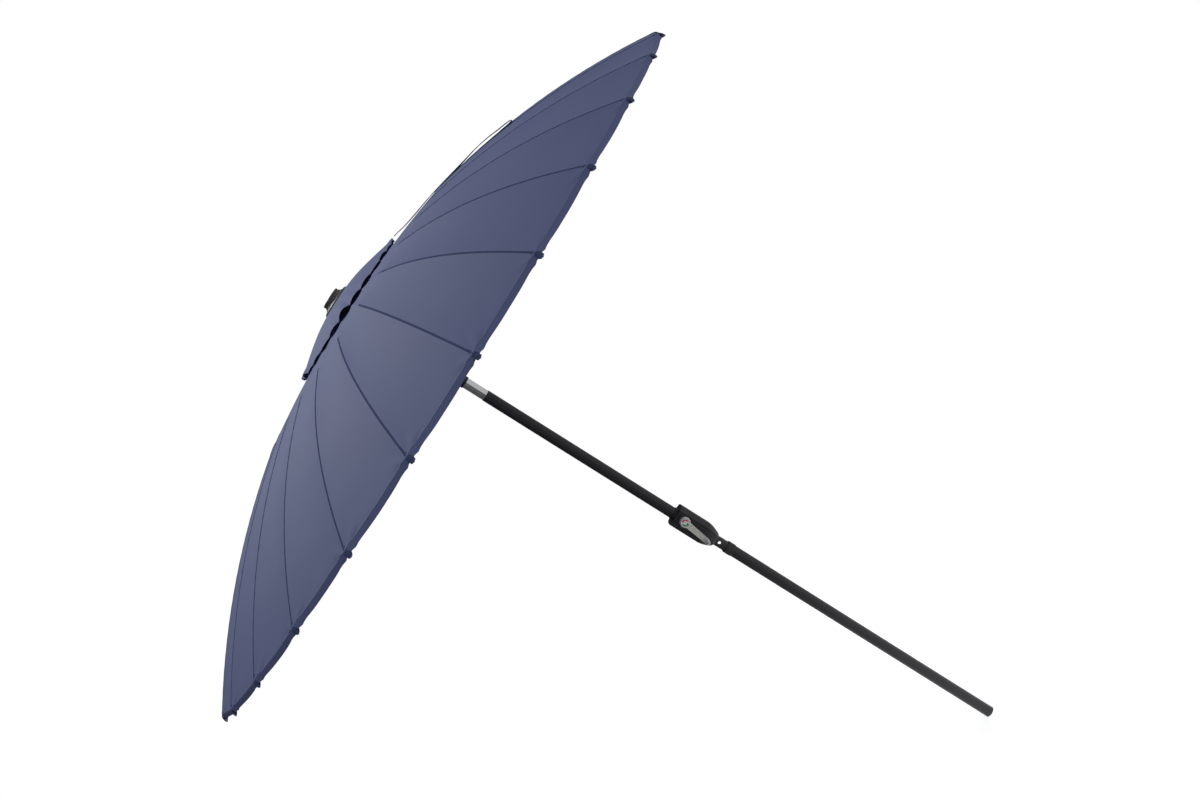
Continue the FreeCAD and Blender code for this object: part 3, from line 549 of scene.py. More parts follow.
@dataclass(frozen=True)
class Hard:
    """A moulded, painted or plated finish."""

    name: str
    colour: Colour
    tint: Colour
    worn: Colour
    smoothest: float
    roughest: float
    cloud: float = 14.0
    grain: float = 900.0
    depth: float = 0.00004
    wear: float = 0.5
    metal: float = 0.0
    coat: float = 0.0

    def build(self, effects: Effects) -> bpy.types.Material:
        """Wire the finish.

        Args:
            effects: The shared node groups.

        Returns:
            The material.
        """
        graph, shader = start_material(self.name, self.metal)
        grain = graph.add("ShaderNodeGroup", node_tree=effects.grain)
        for key, value in (("Colour", self.colour), ("Tint", self.tint),
                           ("Cloud Scale", self.cloud), ("Grain Scale", self.grain),
                           ("Smoothest", self.smoothest), ("Roughest", self.roughest)):
            graph.feed(grain.inputs[key], value)
        wear = graph.add("ShaderNodeGroup", node_tree=effects.wear)
        graph.feed(wear.inputs["Colour"], grain.outputs["Colour"])
        graph.feed(wear.inputs["Worn"], self.worn)
        graph.feed(wear.inputs["Amount"], self.wear)
        graph.feed(shader.inputs["Base Color"], wear.outputs["Colour"])
        graph.feed(shader.inputs["Roughness"], grain.outputs["Roughness"])
        bump = graph.add("ShaderNodeBump", {
            "Strength": BUMP_STRENGTH, "Distance": self.depth,
            "Height": grain.outputs["Height"]})
        graph.feed(shader.inputs["Normal"], bump.outputs[0])
        shader.inputs["Coat Weight"].default_value = self.coat
        shader.inputs["Coat Roughness"].default_value = COAT_ROUGHNESS
        return bpy.data.materials[self.name]


@dataclass(frozen=True)
class Brushed:
    """Bare or plated metal with fine marks in one direction."""

    name: str
    colour: Colour
    tint: Colour
    smoothest: float
    roughest: float
    run: Run
    depth: float = 0.00002

    def build(self, effects: Effects) -> bpy.types.Material:
        """Wire the finish.

        Args:
            effects: The shared node groups.

        Returns:
            The material.
        """
        graph, shader = start_material(self.name, 1.0)
        place = graph.add("ShaderNodeTexCoord").outputs["Object"]
        stretch = graph.add("ShaderNodeVectorMath", {0: place, 1: self.run.value},
                            operation="MULTIPLY")
        marks = graph.add("ShaderNodeTexNoise", {
            "Vector": stretch.outputs[0], "Scale": 1.0, "Detail": 4.0})
        wear = graph.add("ShaderNodeGroup", node_tree=effects.wear)
        graph.feed(wear.inputs["Colour"], graph.mix(
            graph.spread(marks.outputs["Fac"], 0.0, 1.0), self.colour, self.tint))
        graph.feed(wear.inputs["Worn"], self.tint)
        graph.feed(wear.inputs["Amount"], BRUSHED_WEAR)
        graph.feed(shader.inputs["Base Color"], wear.outputs["Colour"])
        graph.feed(shader.inputs["Roughness"], graph.spread(
            marks.outputs["Fac"], self.smoothest, self.roughest))
        bump = graph.add("ShaderNodeBump", {
            "Strength": MARK_STRENGTH, "Distance": self.depth, "Height": marks.outputs["Fac"]})
        graph.feed(shader.inputs["Normal"], bump.outputs[0])
        return bpy.data.materials[self.name]


@dataclass(frozen=True)
class Cloth:
    """A woven finish with sheen."""

    name: str
    colour: Colour
    pale: Colour
    threads: float
    depth: float
    sheen: float
    roughness: float = 0.85
    fade: float = 0.6
    patch_scale: float = 2.6

    def build(self, effects: Effects) -> bpy.types.Material:
        """Wire the finish.

        Args:
            effects: The shared node groups.

        Returns:
            The material.
        """
        graph, shader = start_material(self.name, 0.0)
        fade = graph.add("ShaderNodeGroup", node_tree=effects.fade)
        for key, value in (("Colour", self.colour), ("Pale", self.pale),
                           ("Scale", self.patch_scale), ("Amount", self.fade)):
            graph.feed(fade.inputs[key], value)
        weave = graph.add("ShaderNodeGroup", node_tree=effects.weave)
        graph.feed(weave.inputs["Threads"], self.threads)
        thread = graph.spread(weave.outputs["Thread"], 0.0, 0.35)
        graph.feed(shader.inputs["Base Color"], graph.mix(
            thread, fade.outputs["Colour"], self.pale))
        graph.feed(shader.inputs["Roughness"], graph.spread(
            fade.outputs["Patch"], self.roughness, self.roughness + 0.1, 0.0, 1.0))
        bump = graph.add("ShaderNodeBump", {
            "Strength": WEAVE_STRENGTH, "Distance": self.depth,
            "Height": weave.outputs["Height"]})
        graph.feed(shader.inputs["Normal"], bump.outputs[0])
        shader.inputs["Sheen Weight"].default_value = self.sheen
        shader.inputs["Sheen Roughness"].default_value = SHEEN_ROUGHNESS
        shader.inputs["Sheen Tint"].default_value = (0.55, 0.65, 1.0, 1.0)
        shader.inputs["IOR"].default_value = CLOTH_IOR
        return bpy.data.materials[self.name]


Finish = Union[Hard, Brushed, Cloth]

BLACK: Colour = (0.012, 0.012, 0.013)
SOOT: Colour = (0.022, 0.022, 0.024)
GREY_WEAR: Colour = (0.09, 0.09, 0.095)

FINISHES: tuple[Finish, ...] = (
    Hard("pole_paint", BLACK, SOOT, GREY_WEAR, 0.26, 0.33, cloud=6.0, grain=350.0,
         depth=0.000004, wear=0.2, coat=0.15),
    Hard("black_plastic", BLACK, SOOT, GREY_WEAR, 0.38, 0.55, grain=700.0),
    Hard("stub_paint", (0.016, 0.016, 0.018), (0.028, 0.028, 0.03), GREY_WEAR, 0.3, 0.42),
    Brushed("bright_steel", (0.58, 0.58, 0.6), (0.72, 0.72, 0.74), 0.16, 0.34, Run.ALONG_Z),
    Brushed("spring_steel", (0.42, 0.42, 0.44), (0.58, 0.58, 0.6), 0.2, 0.4, Run.ALONG_X),
    Hard("housing_plastic", (0.009, 0.009, 0.01), (0.016, 0.016, 0.018), GREY_WEAR,
         0.3, 0.46, grain=800.0, depth=0.00005),
    Hard("grey_plastic", (0.24, 0.24, 0.25), (0.3, 0.3, 0.31), (0.4, 0.4, 0.4), 0.42, 0.6),
    Hard("crank_chrome", (0.66, 0.66, 0.64), (0.74, 0.74, 0.72), (0.86, 0.86, 0.84),
         0.26, 0.40, metal=1.0, wear=0.7),
    Hard("arm_grey", (0.66, 0.66, 0.60), (0.74, 0.74, 0.68), (0.84, 0.84, 0.80),
         0.34, 0.48, metal=0.3, wear=0.7),
    Hard("badge_face", (0.82, 0.82, 0.8), (0.88, 0.88, 0.87), (0.9, 0.9, 0.9),
         0.12, 0.2, coat=0.6, wear=0.1),
    Hard("badge_red", (0.62, 0.03, 0.03), (0.72, 0.05, 0.04), (0.8, 0.2, 0.2), 0.14, 0.24,
         coat=0.5, wear=0.2),
    Hard("badge_green", (0.02, 0.28, 0.09), (0.03, 0.36, 0.12), (0.2, 0.5, 0.3), 0.14, 0.24,
         coat=0.5, wear=0.2),
    Hard("knob_plastic", (0.05, 0.05, 0.048), (0.08, 0.08, 0.076), (0.3, 0.3, 0.29), 0.3, 0.44),
    # cream for the knob's end cap: a painted highlight on the dark knob
    Hard("knob_cream", (0.62, 0.60, 0.52), (0.70, 0.68, 0.60), (0.8, 0.8, 0.76), 0.3, 0.44),
    Brushed("chrome_tube", (0.66, 0.67, 0.69), (0.8, 0.81, 0.83), 0.06, 0.14, Run.ROUND_Z,
            depth=0.000003),
    Hard("joint_paint", BLACK, SOOT, GREY_WEAR, 0.26, 0.4, wear=0.8),
    Hard("hub_plastic", (0.016, 0.016, 0.017), (0.026, 0.026, 0.028), GREY_WEAR, 0.42, 0.6),
    Hard("strut_paint", BLACK, SOOT, GREY_WEAR, 0.28, 0.42, wear=0.8),
    Hard("rib_rod", (0.018, 0.018, 0.02), (0.03, 0.03, 0.033), GREY_WEAR, 0.25, 0.4,
         cloud=40.0),
    Hard("finial_plastic", (0.045, 0.046, 0.052), (0.062, 0.063, 0.07), (0.16, 0.16, 0.17),
         0.42, 0.58, grain=600.0, depth=0.00005),
    Cloth("canopy_cloth", (0.052, 0.090, 0.310), (0.068, 0.108, 0.345), 1400.0, 0.00004,
          sheen=0.05),
    # seam strips: a real seam, with a darker colour that is painted shade of the crease along the rib
    Cloth("seam_tape", (0.066, 0.086, 0.190), (0.080, 0.102, 0.215), 1700.0, 0.00003,
          sheen=0.04),
    Cloth("pocket_cloth", (0.072, 0.094, 0.205), (0.086, 0.110, 0.230), 1200.0, 0.00004,
          sheen=0.04),
    Cloth("strap_webbing", (0.034, 0.040, 0.085), (0.055, 0.062, 0.120), 700.0, 0.0001,
          sheen=0.2),
)


@dataclass
class Paintbox:
    """Builds each finish once and puts it on pieces."""

    effects: Effects = field(default_factory=Effects)
    made: dict[str, bpy.types.Material] = field(default_factory=dict)

    def __post_init__(self) -> None:
        """Build every finish."""
        for finish in FINISHES:
            self.made[finish.name] = finish.build(self.effects)

    def dress(self, thing: bpy.types.Object, name: str) -> None:
        """Give a new piece its only material and its slot."""
        thing.data.materials.clear()
        thing.data.materials.append(self.made[name])

    def repaint(self, thing: bpy.types.Object, name: str) -> None:
        """Give a carried-over piece its better material."""
        if not thing.material_slots:
            thing.data.materials.append(self.made[name])
        for holder in thing.material_slots:
            holder.material = self.made[name]


def finish_piece(thing: bpy.types.Object, paint: Paintbox, material: str) -> None:
    """Dress a new piece and report it."""
    paint.dress(thing, material)
    LOG.info("made %s with %d faces", thing.name, len(thing.data.polygons))


# --- the ribs' line ---------------------------------------------------------------------


@dataclass(frozen=True)
class RibLine:
    """The circle that every rib's rod follows, and where the ribs stand."""

    hub_reach: float
    hub_height: float
    azimuths: tuple[float, ...]
    tip_reach: float = 1.245
    tip_height: float = 2.238
    rise: float = 0.083

    @classmethod
    def from_record(cls, record: dict) -> "RibLine":
        """Read the hinges of the ribs.

        Args:
            record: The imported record.

        Returns:
            The line, with an azimuth for each rib in order.
        """
        hinges = [joint for joint in record["behaviour"]["joints"]
                  if joint["name"].startswith("rib_")]
        azimuths = tuple(math.atan2(joint["pos_m"][1], joint["pos_m"][0]) for joint in hinges)
        x, y, z = hinges[0]["pos_m"]
        return cls(hub_reach=math.hypot(x, y), hub_height=z, azimuths=azimuths)

    @property
    def count(self) -> int:
        """The number of ribs."""
        return len(self.azimuths)

    @property
    def half_gore(self) -> float:
        """Half of the angle between two ribs."""
        return math.pi / self.count

    @property
    def radius(self) -> float:
        """The radius of the circle."""
        chord = math.hypot(self.tip_reach - self.hub_reach, self.tip_height - self.hub_height)
        return (chord ** 2 / 4 + self.rise ** 2) / (2 * self.rise)

    @property
    def centre(self) -> tuple[float, float]:
        """The circle's centre, as (reach, height)."""
        across = self.tip_reach - self.hub_reach
        down = self.tip_height - self.hub_height
        chord = math.hypot(across, down)
        depth = self.radius - self.rise
        middle = ((self.hub_reach + self.tip_reach) / 2, (self.hub_height + self.tip_height) / 2)
        return middle[0] + down / chord * depth, middle[1] - across / chord * depth

    def normal(self, reach: float) -> tuple[float, float]:
        """The direction away from the circle's centre at a reach."""
        x, _ = self.centre
        sin = (reach - x) / self.radius
        return sin, math.sqrt(1 - sin * sin)

    def height(self, reach: float, lift: float) -> float:
        """The height at a reach of the line that runs a lift above the rods' axis."""
        x, z = self.centre
        return z + math.sqrt((self.radius + lift) ** 2 - (reach - x) ** 2)


# --- canopy -----------------------------------------------------------------------------


@dataclass
class Canopy:
    """The main cloth, cut so that each rib carries the cloth on both its sides.

    The ring is where the cloth changes from its level middle to its falling outer part,
    and the arc is the angle of a rib's circle between the vent opening and the rim.
    """

    ribs: RibLine
    paint: Paintbox
    inner: float = 0.150
    outer: float = 1.2515
    lift: float = 0.0100
    droop: float = 0.0115
    thickness: float = 0.0008
    sag_inner: float = 0.0025
    sag_outer: float = 0.0085
    scallop: float = 0.0045
    hem: float = 0.014
    hem_step: float = 0.0007
    stitch_depth: float = 0.0005
    ring: float = 0.500
    ring_rise: float = 0.0095
    knuckle: float = 0.0012
    fold: float = 0.0016
    crease: float = 0.0006
    gather: float = 0.0022
    gather_folds: int = 9
    tip_inset: float = 0.012
    arc: float = 0.475
    columns: int = 10
    closed_share: float = 0.42
    seed: int = 11
    slack: list[float] = field(init=False)

    def __post_init__(self) -> None:
        """Draw how slack each gore is."""
        draw = random.Random(self.seed)
        self.slack = [draw.uniform(0.75, 1.3) for _ in range(self.ribs.count)]

    def dip(self, across: float) -> float:
        """The share of a gore's sag, from 0 on the rib to 1 at mid-gore."""
        return abs(across) * (2 - abs(across))

    def rim(self, across: float) -> float:
        """The reach of the cut edge at a place across the gore."""
        return self.outer - self.scallop * self.dip(across)

    def gore(self, rib: int, across: float) -> int:
        """The number of the gore on one side of a rib."""
        return (rib - 1) % self.ribs.count if across > 0 else rib

    def surface(self, rib: int, reach: float, across: float, lift: float = 0.0) -> Vector:
        """A point on the open cloth's upper face.

        Args:
            rib: The rib's number from 0.
            reach: Distance from the pole's axis along the ribs.
            across: 0 on the rib, and 1 or -1 at the middle of the gores beside it.
            lift: How far over the face the point is.

        Returns:
            The point in the row frame.
        """
        here = self.ribs.azimuths[rib]
        beside = here + math.copysign(2 * self.ribs.half_gore, across)
        share = abs(across) / 2
        height = self.ribs.height(reach, self.lift)
        flat = polar(here, reach, 0, height).lerp(polar(beside, reach, 0, height), share)
        outward = Vector((flat.x, flat.y, 0)).normalized()
        along, up = self.ribs.normal(reach)
        normal = outward * along + Vector((0, 0, up))
        grown = smooth((reach - self.inner) / 0.75)
        sag = self.sag_inner + (self.sag_outer - self.sag_inner) * grown
        sag *= self.slack[self.gore(rib, across)] * self.dip(across)
        return flat + normal * (lift - sag + self.relief(flat, reach, across))

    def relief(self, flat: Vector, reach: float, across: float) -> float:
        """The height of small folds, gathers, the hem and the ring.

        Args:
            flat: The point before its sag.
            reach: Distance from the pole's axis along the ribs.
            across: The place across the gore.

        Returns:
            The height over the plain cloth.
        """
        side = abs(across) * reach * math.sin(self.ribs.half_gore)
        edge = self.rim(across) - reach
        soft = noise.noise(flat * 5.0) * self.fold * smooth(abs(across) * 4)
        fine = noise.noise(flat * 17.0) * self.crease * smooth(abs(across) * 5)
        if reach < self.ring:
            tent = smooth((reach - self.inner) / (self.ring - self.inner) * 0.5) * 2
        else:
            tent = (self.outer - reach) / (self.outer - self.ring)
        over_saddle = bell(reach - self.ring, 0.02) * bell(side, 0.02)
        knuckle = self.ring_rise * tent + self.knuckle * over_saddle
        inward = max(edge, 0.0) + self.tip_inset
        tip = math.hypot(side, inward)
        fan = math.cos(self.gather_folds * math.atan2(side, inward))
        gather = self.gather * fan * bell(tip - 0.03, 0.032) * smooth(side / 0.02)
        turned_in = self.tip_inset / 2 * (1 + smooth(abs(across) * 6))
        droop = -self.droop * smooth((turned_in - edge) / turned_in) ** 1.5
        hem = self.hem_step * smooth((self.hem - edge) / 0.002 + 0.5)
        stitch = -self.stitch_depth * bell(edge - self.hem - 0.001, 0.0015)
        return soft + fine + knuckle + gather + droop + hem + stitch

    def reaches(self, across: float) -> list[float]:
        """The reach of each row of points at a place across the gore."""
        rim = self.rim(across)
        close = [0.0, 0.0012, 0.0024, 0.004, 0.006, 0.009, 0.012, 0.0145, 0.0165, 0.020, 0.028, 0.038, 0.050,
                 0.064, 0.082, 0.105]
        near = [rim - step for step in close]
        far = rim - 0.135
        outer_rows, inner_rows = 20, 11
        low, high = self.ring - 0.04, self.ring + 0.04
        rows = [far + (high - far) * i / outer_rows for i in range(outer_rows)]
        rows += [high + (low - high) * i / 8 for i in range(8)]
        rows += [low + (self.inner - low) * i / inner_rows for i in range(inner_rows + 1)]
        return near + rows

    def build_panel(self, rib: int) -> bpy.types.Object:
        """The cloth from mid-gore to mid-gore over one rib."""
        places = [math.copysign((abs(step) / self.columns) ** 1.5, step)
                  for step in range(-self.columns, self.columns + 1)]
        table = [self.reaches(across) for across in places]
        rows = len(table[0])

        def place(i: int, j: int, depth: float) -> Vector:
            """The point of a row and a column."""
            return self.surface(rib, table[j][i], places[j], -depth)

        def flat(i: int, j: int) -> tuple[float, float]:
            """Its place on the flat cloth."""
            side = places[j] * table[j][i] * math.sin(self.ribs.half_gore)
            return side, table[j][i] * 1.03

        return closed_sheet(f"canopy_panel_{rib + 1:02d}", rows, len(places), place,
                            self.thickness, flat)

    def build_seam(self, rib: int) -> bpy.types.Object:
        """The felled seam over one rib, from the ring to the rim, coloured darker as painted shade of the
        crease along the rib.
        """
        start, end, steps = self.ring - 0.02, self.rim(0) - 0.001, 46
        sides = (-0.0030, -0.0024, -0.001, 0.0, 0.001, 0.0024, 0.0030)
        lifts = (0.0001, 0.0004, 0.0005, 0.0007, 0.0005, 0.0004, 0.0001)

        def place(i: int, j: int, depth: float) -> Vector:
            """The point of a row and a column."""
            reach = end + (start - end) * i / steps
            across = sides[j] / (reach * math.sin(self.ribs.half_gore))
            pucker = 0.0002 * math.sin(reach * 900 + rib)
            return self.surface(rib, reach, across, lifts[j] + pucker - depth)

        def flat(i: int, j: int) -> tuple[float, float]:
            """Its place on the flat tape."""
            return sides[j], (end - start) * i / steps

        return closed_sheet(f"canopy_seam_{rib + 1:02d}", steps + 1, len(sides), place,
                            0.0006, flat)

    def build_pocket(self, rib: int) -> bpy.types.Object:
        """The folded pocket that holds one rib's tip."""
        azimuth = self.ribs.azimuths[rib]
        profile = curve_through([(1.232, 0.0104), (1.240, 0.0108), (1.2475, 0.0096),
                                 (1.2512, 0.0050), (1.2525, -0.0010), (1.2508, -0.0054),
                                 (1.244, -0.0064), (1.234, -0.0062)], 4)
        halves = [0.0062 + 0.0016 * smooth(i / (len(profile) - 1) * 2)
                  for i in range(len(profile))]
        columns = 8

        def place(i: int, j: int, depth: float) -> Vector:
            """The point of a row and a column."""
            reach, lift = profile[i]
            ahead = profile[min(i + 1, len(profile) - 1)]
            behind = profile[max(i - 1, 0)]
            along = Vector((ahead[0] - behind[0], ahead[1] - behind[1])).normalized()
            share = 2 * j / columns - 1
            drop = 0.0022 * share * share
            bulge = 0.0005 * math.cos(share * 7.5)
            deep = depth + drop - bulge
            reach += along.y * deep
            lift -= along.x * deep
            return polar(azimuth, reach, share * halves[i],
                         self.ribs.height(min(reach, 1.2599), lift))

        def flat(i: int, j: int) -> tuple[float, float]:
            """Its place on the flat cloth."""
            return (2 * j / columns - 1) * halves[i], i * 0.0035

        return closed_sheet(f"tip_pocket_{rib + 1:02d}", len(profile), columns + 1, place,
                            0.0012, flat)

    def build(self) -> None:
        """Make every panel with its seam and its pocket."""
        for rib in range(self.ribs.count):
            panel, seam = self.build_panel(rib), self.build_seam(rib)
            pocket = self.build_pocket(rib)
            finish_piece(panel, self.paint, "canopy_cloth")
            finish_piece(seam, self.paint, "seam_tape")
            finish_piece(pocket, self.paint, "pocket_cloth")
            body = f"rib_{rib + 1:02d}"
            for piece in (panel, seam, pocket):
                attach(piece, body)
            azimuth = self.ribs.azimuths[rib]
            polar(azimuth, 0, 1, 0)
            polar(azimuth, 0.5, 0, 2.5)
            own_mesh(panel)
            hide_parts("canopy")


@dataclass
class VentCap:
    """The small cloth over the vent opening, clamped under the finial."""

    ribs: RibLine
    paint: Paintbox
    inner: float = 0.008
    shoulder: float = 0.058
    outer: float = 0.266
    loose: float = 0.0075
    lip: float = 0.003
    hem: float = 0.012
    hem_step: float = 0.0006
    thickness: float = 0.0008
    clamped_reach: float = 0.050
    free_reach: float = 0.130
    area_share: float = 0.53
    columns: int = 6
    rows: int = 26
    seed: int = 5
    top: float = field(init=False)
    seam_edge: float = field(init=False)

    def __post_init__(self) -> None:
        """Take the cap's heights from its solid."""
        low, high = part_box("vent_cap")
        self.top = high.z
        self.seam_edge = low.z - 0.0025

    def build(self) -> None:
        """Make every gore of the cap."""
        draw = random.Random(self.seed)
        slack = [draw.choice((0.1, 0.25, 0.5, 1.2)) + draw.uniform(0.0, 0.15)
                 for _ in range(self.ribs.count)]
        for rib in range(self.ribs.count):
            self.build_gore(rib, slack)

    def build_gore(self, rib: int, slack: Sequence[float]) -> None:
        """Make the cap's cloth over one rib.

        Args:
            rib: The rib's number from 0.
            slack: How loose each gore hangs.
        """
        here = self.ribs.azimuths[rib]
        half = self.ribs.half_gore

        def place(i: int, j: int, depth: float) -> Vector:
            """The point of a row and a column."""
            across = j / self.columns * 2 - 1
            loose = slack[(rib - 1) % self.ribs.count if across > 0 else rib]
            wave = abs(across) * (2 - abs(across))
            rim = self.outer - self.lip * (1 - wave) + 0.002 * (loose - 1) * wave
            share = 1 - i / self.rows
            reach = self.inner + (rim - self.inner) * share
            fall = smooth((reach - self.shoulder) / (2 * (self.outer - self.shoulder))) * 2
            edge = self.seam_edge + self.loose * loose * wave * smooth(share)
            lip = self.lip * loose * wave * smooth((share - 0.86) / 0.14)
            height = self.top + (edge - self.top) * fall + lip
            hem = self.hem_step * smooth((self.hem - (rim - reach)) / 0.002)
            return polar(here + across * half, reach * (1 - 0.004 * wave), 0,
                         height + hem - depth)

        def flat(i: int, j: int) -> tuple[float, float]:
            """Its place on the flat cloth."""
            share = 1 - i / self.rows
            return (j / self.columns * 2 - 1) * share * self.outer * half, share * self.outer

        gore = closed_sheet(f"vent_cap_{rib + 1:02d}", self.rows + 1, self.columns + 1,
                            place, self.thickness, flat)
        finish_piece(gore, self.paint, "canopy_cloth")
        polar(here, self.clamped_reach, 0, self.top)
        polar(here, self.free_reach, 0, self.top)
        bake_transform(gore)
        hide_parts("vent_cap")


@dataclass
class ClosingStrap:
    """The strap that ties the closed canopy, lying loose along one rib.

    Its line gives its reach and its lift over the cloth, from its inner end over its two
    low loops to the end that is folded under.
    """

    canopy: Canopy
    paint: Paintbox
    rib: int = 21
    width: float = 0.025
    thickness: float = 0.0018
    curl: float = 0.0012
    crown: float = 0.0008
    drift: float = 0.004
    columns: int = 6
    line: tuple[tuple[float, float], ...] = (
        (0.276, 0.016), (0.290, 0.0150), (0.308, 0.0125), (0.335, 0.0105), (0.380, 0.0105),
        (0.460, 0.0120), (0.540, 0.0120), (0.590, 0.0135), (0.640, 0.0165), (0.690, 0.0170),
        (0.735, 0.0145), (0.765, 0.0140), (0.778, 0.0120), (0.776, 0.0088), (0.760, 0.0075),
        (0.730, 0.0072))

    def build(self) -> None:
        """Make the strap and lay it on its rib."""
        line = curve_through(self.line, 5)
        azimuth = self.canopy.ribs.azimuths[self.rib]
        lengths = [0.0]
        for first, second in zip(line, line[1:]):
            lengths.append(lengths[-1] + math.dist(first, second))

        def place(i: int, j: int, depth: float) -> Vector:
            """The point of a row and a column."""
            reach, lift = line[i]
            share = 2 * j / self.columns - 1
            curl = self.curl * share * math.sin(lengths[i] * 17)
            crown = -self.crown * share * share
            base = self.canopy.ribs.height(reach, self.canopy.lift + lift + 0.0006)
            drift = self.drift * math.sin(lengths[i] * 7.0)
            return polar(azimuth, reach, share * self.width / 2 + drift,
                         base + curl + crown - depth)

        def flat(i: int, j: int) -> tuple[float, float]:
            """Its place on the flat webbing."""
            return j / self.columns * self.width, lengths[i]

        strap = closed_sheet("closing_strap", len(line), self.columns + 1, place,
                             self.thickness, flat)
        finish_piece(strap, self.paint, "strap_webbing")
        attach(strap, f"rib_{self.rib + 1:02d}")
        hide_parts("tie_strap")


# --- struts -----------------------------------------------------------------------------


@dataclass
class Struts:
    """The struts from the runner's ring to the ribs' saddles."""

    ribs: RibLine
    paint: Paintbox
    low_reach: float = 0.042
    low_height: float = 2.290
    high_reach: float = 0.4948
    high_height: float = 2.5163
    rod: float = 0.0022
    fold_angle: float = math.radians(13.0)
    closed_share: float = 0.04

    def build(self) -> None:
        """Make every strut."""
        for rib in range(self.ribs.count):
            self.build_strut(rib)

    def build_strut(self, rib: int) -> None:
        """Make one strut."""
        azimuth = self.ribs.azimuths[rib]
        low = polar(azimuth, self.low_reach, 0, self.low_height)
        high = polar(azimuth, self.high_reach, 0, self.high_height)
        length = (high - low).length
        # each station: distance along the strut, half of its width, half of its height
        stations = ((-0.004, 0.0012, 0.0018), (-0.0025, 0.0022, 0.0038), (0.0, 0.0024, 0.0042),
                    (0.010, 0.0024, 0.0034), (0.016, self.rod, self.rod),
                    (length / 2, self.rod, self.rod), (length - 0.018, self.rod, self.rod),
                    (length - 0.012, 0.0033, 0.0031), (length, 0.0034, 0.0040),
                    (length + 0.0025, 0.0032, 0.0034), (length + 0.004, 0.0012, 0.0018))
        along = (high - low).normalized()
        path = [low + along * station[0] for station in stations]
        halves = [(station[1], station[2]) for station in stations]
        strut = swept(f"strut_{rib + 1:02d}", path, polar(azimuth, 0, 1, 0), halves,
                      sides=14, square=0.8)
        finish_piece(strut, self.paint, "strut_paint")
        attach(strut, "runner")
        polar(azimuth, math.cos(self.fold_angle), 0, -math.sin(self.fold_angle))
        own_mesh(strut)
        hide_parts("struts")


# --- finial -----------------------------------------------------------------------------


@dataclass
class Finial:
    """The fluted cap that clamps the vent cap to the hub."""

    paint: Paintbox
    flutes: int = 24
    flute_depth: float = 0.0011

    def outline(self, foot: float, top: float, reach: float) -> list[tuple[float, float]]:
        """The cap's outline from its foot, its top and its reach."""
        neck, crown = reach * 0.70, reach * 0.61
        return rounded([
            (0.0065, foot), (reach, foot), (reach, foot + 0.0045),
            (reach * 0.90, foot + 0.0072), (reach * 0.78, foot + 0.0080),
            (reach * 0.76, foot + 0.0105), (neck, foot + 0.0110),
            (crown, top - 0.0065), (crown + 0.0012, top - 0.0060),
            (crown + 0.0012, top - 0.0012), (crown - 0.002, top),
            (0.0240, top), (0.0240, top - 0.0060), (0.0210, top - 0.0060),
            (0.0210, top - 0.0015), (0.0150, top - 0.0006), (0.0065, top - 0.0006),
        ], 0.0012)

    def build(self) -> None:
        """Make the cap in the place of its solid."""
        low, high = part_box("finial")
        reach = high.x
        fluted_low, fluted_high = low.z + 0.0112, high.z - 0.0064

        def shape(radius: float, azimuth: float, height: float) -> float:
            """Cut the flutes into the cone."""
            if not (fluted_low < height < fluted_high and radius > reach * 0.5):
                return radius
            return radius - self.flute_depth * (0.5 - 0.5 * math.cos(self.flutes * azimuth)) ** 2

        cone = self.outline(low.z, high.z, reach)
        step = next(i for i, corner in enumerate(cone) if corner[1] > fluted_low)
        inside = [(reach * 0.70 + (reach * 0.61 - reach * 0.70) * share,
                   fluted_low + (fluted_high - fluted_low) * share)
                  for share in (0.02, 0.08, 0.3, 0.6, 0.9, 0.98)]
        cone[step:step] = inside
        cap = turned("finial_cap", cone, steps=self.flutes * 10, shape=shape)
        finish_piece(cap, self.paint, "finial_plastic")
        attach(cap, "canopy_frame")
        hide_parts("finial")


# --- crank housing ----------------------------------------------------------------------


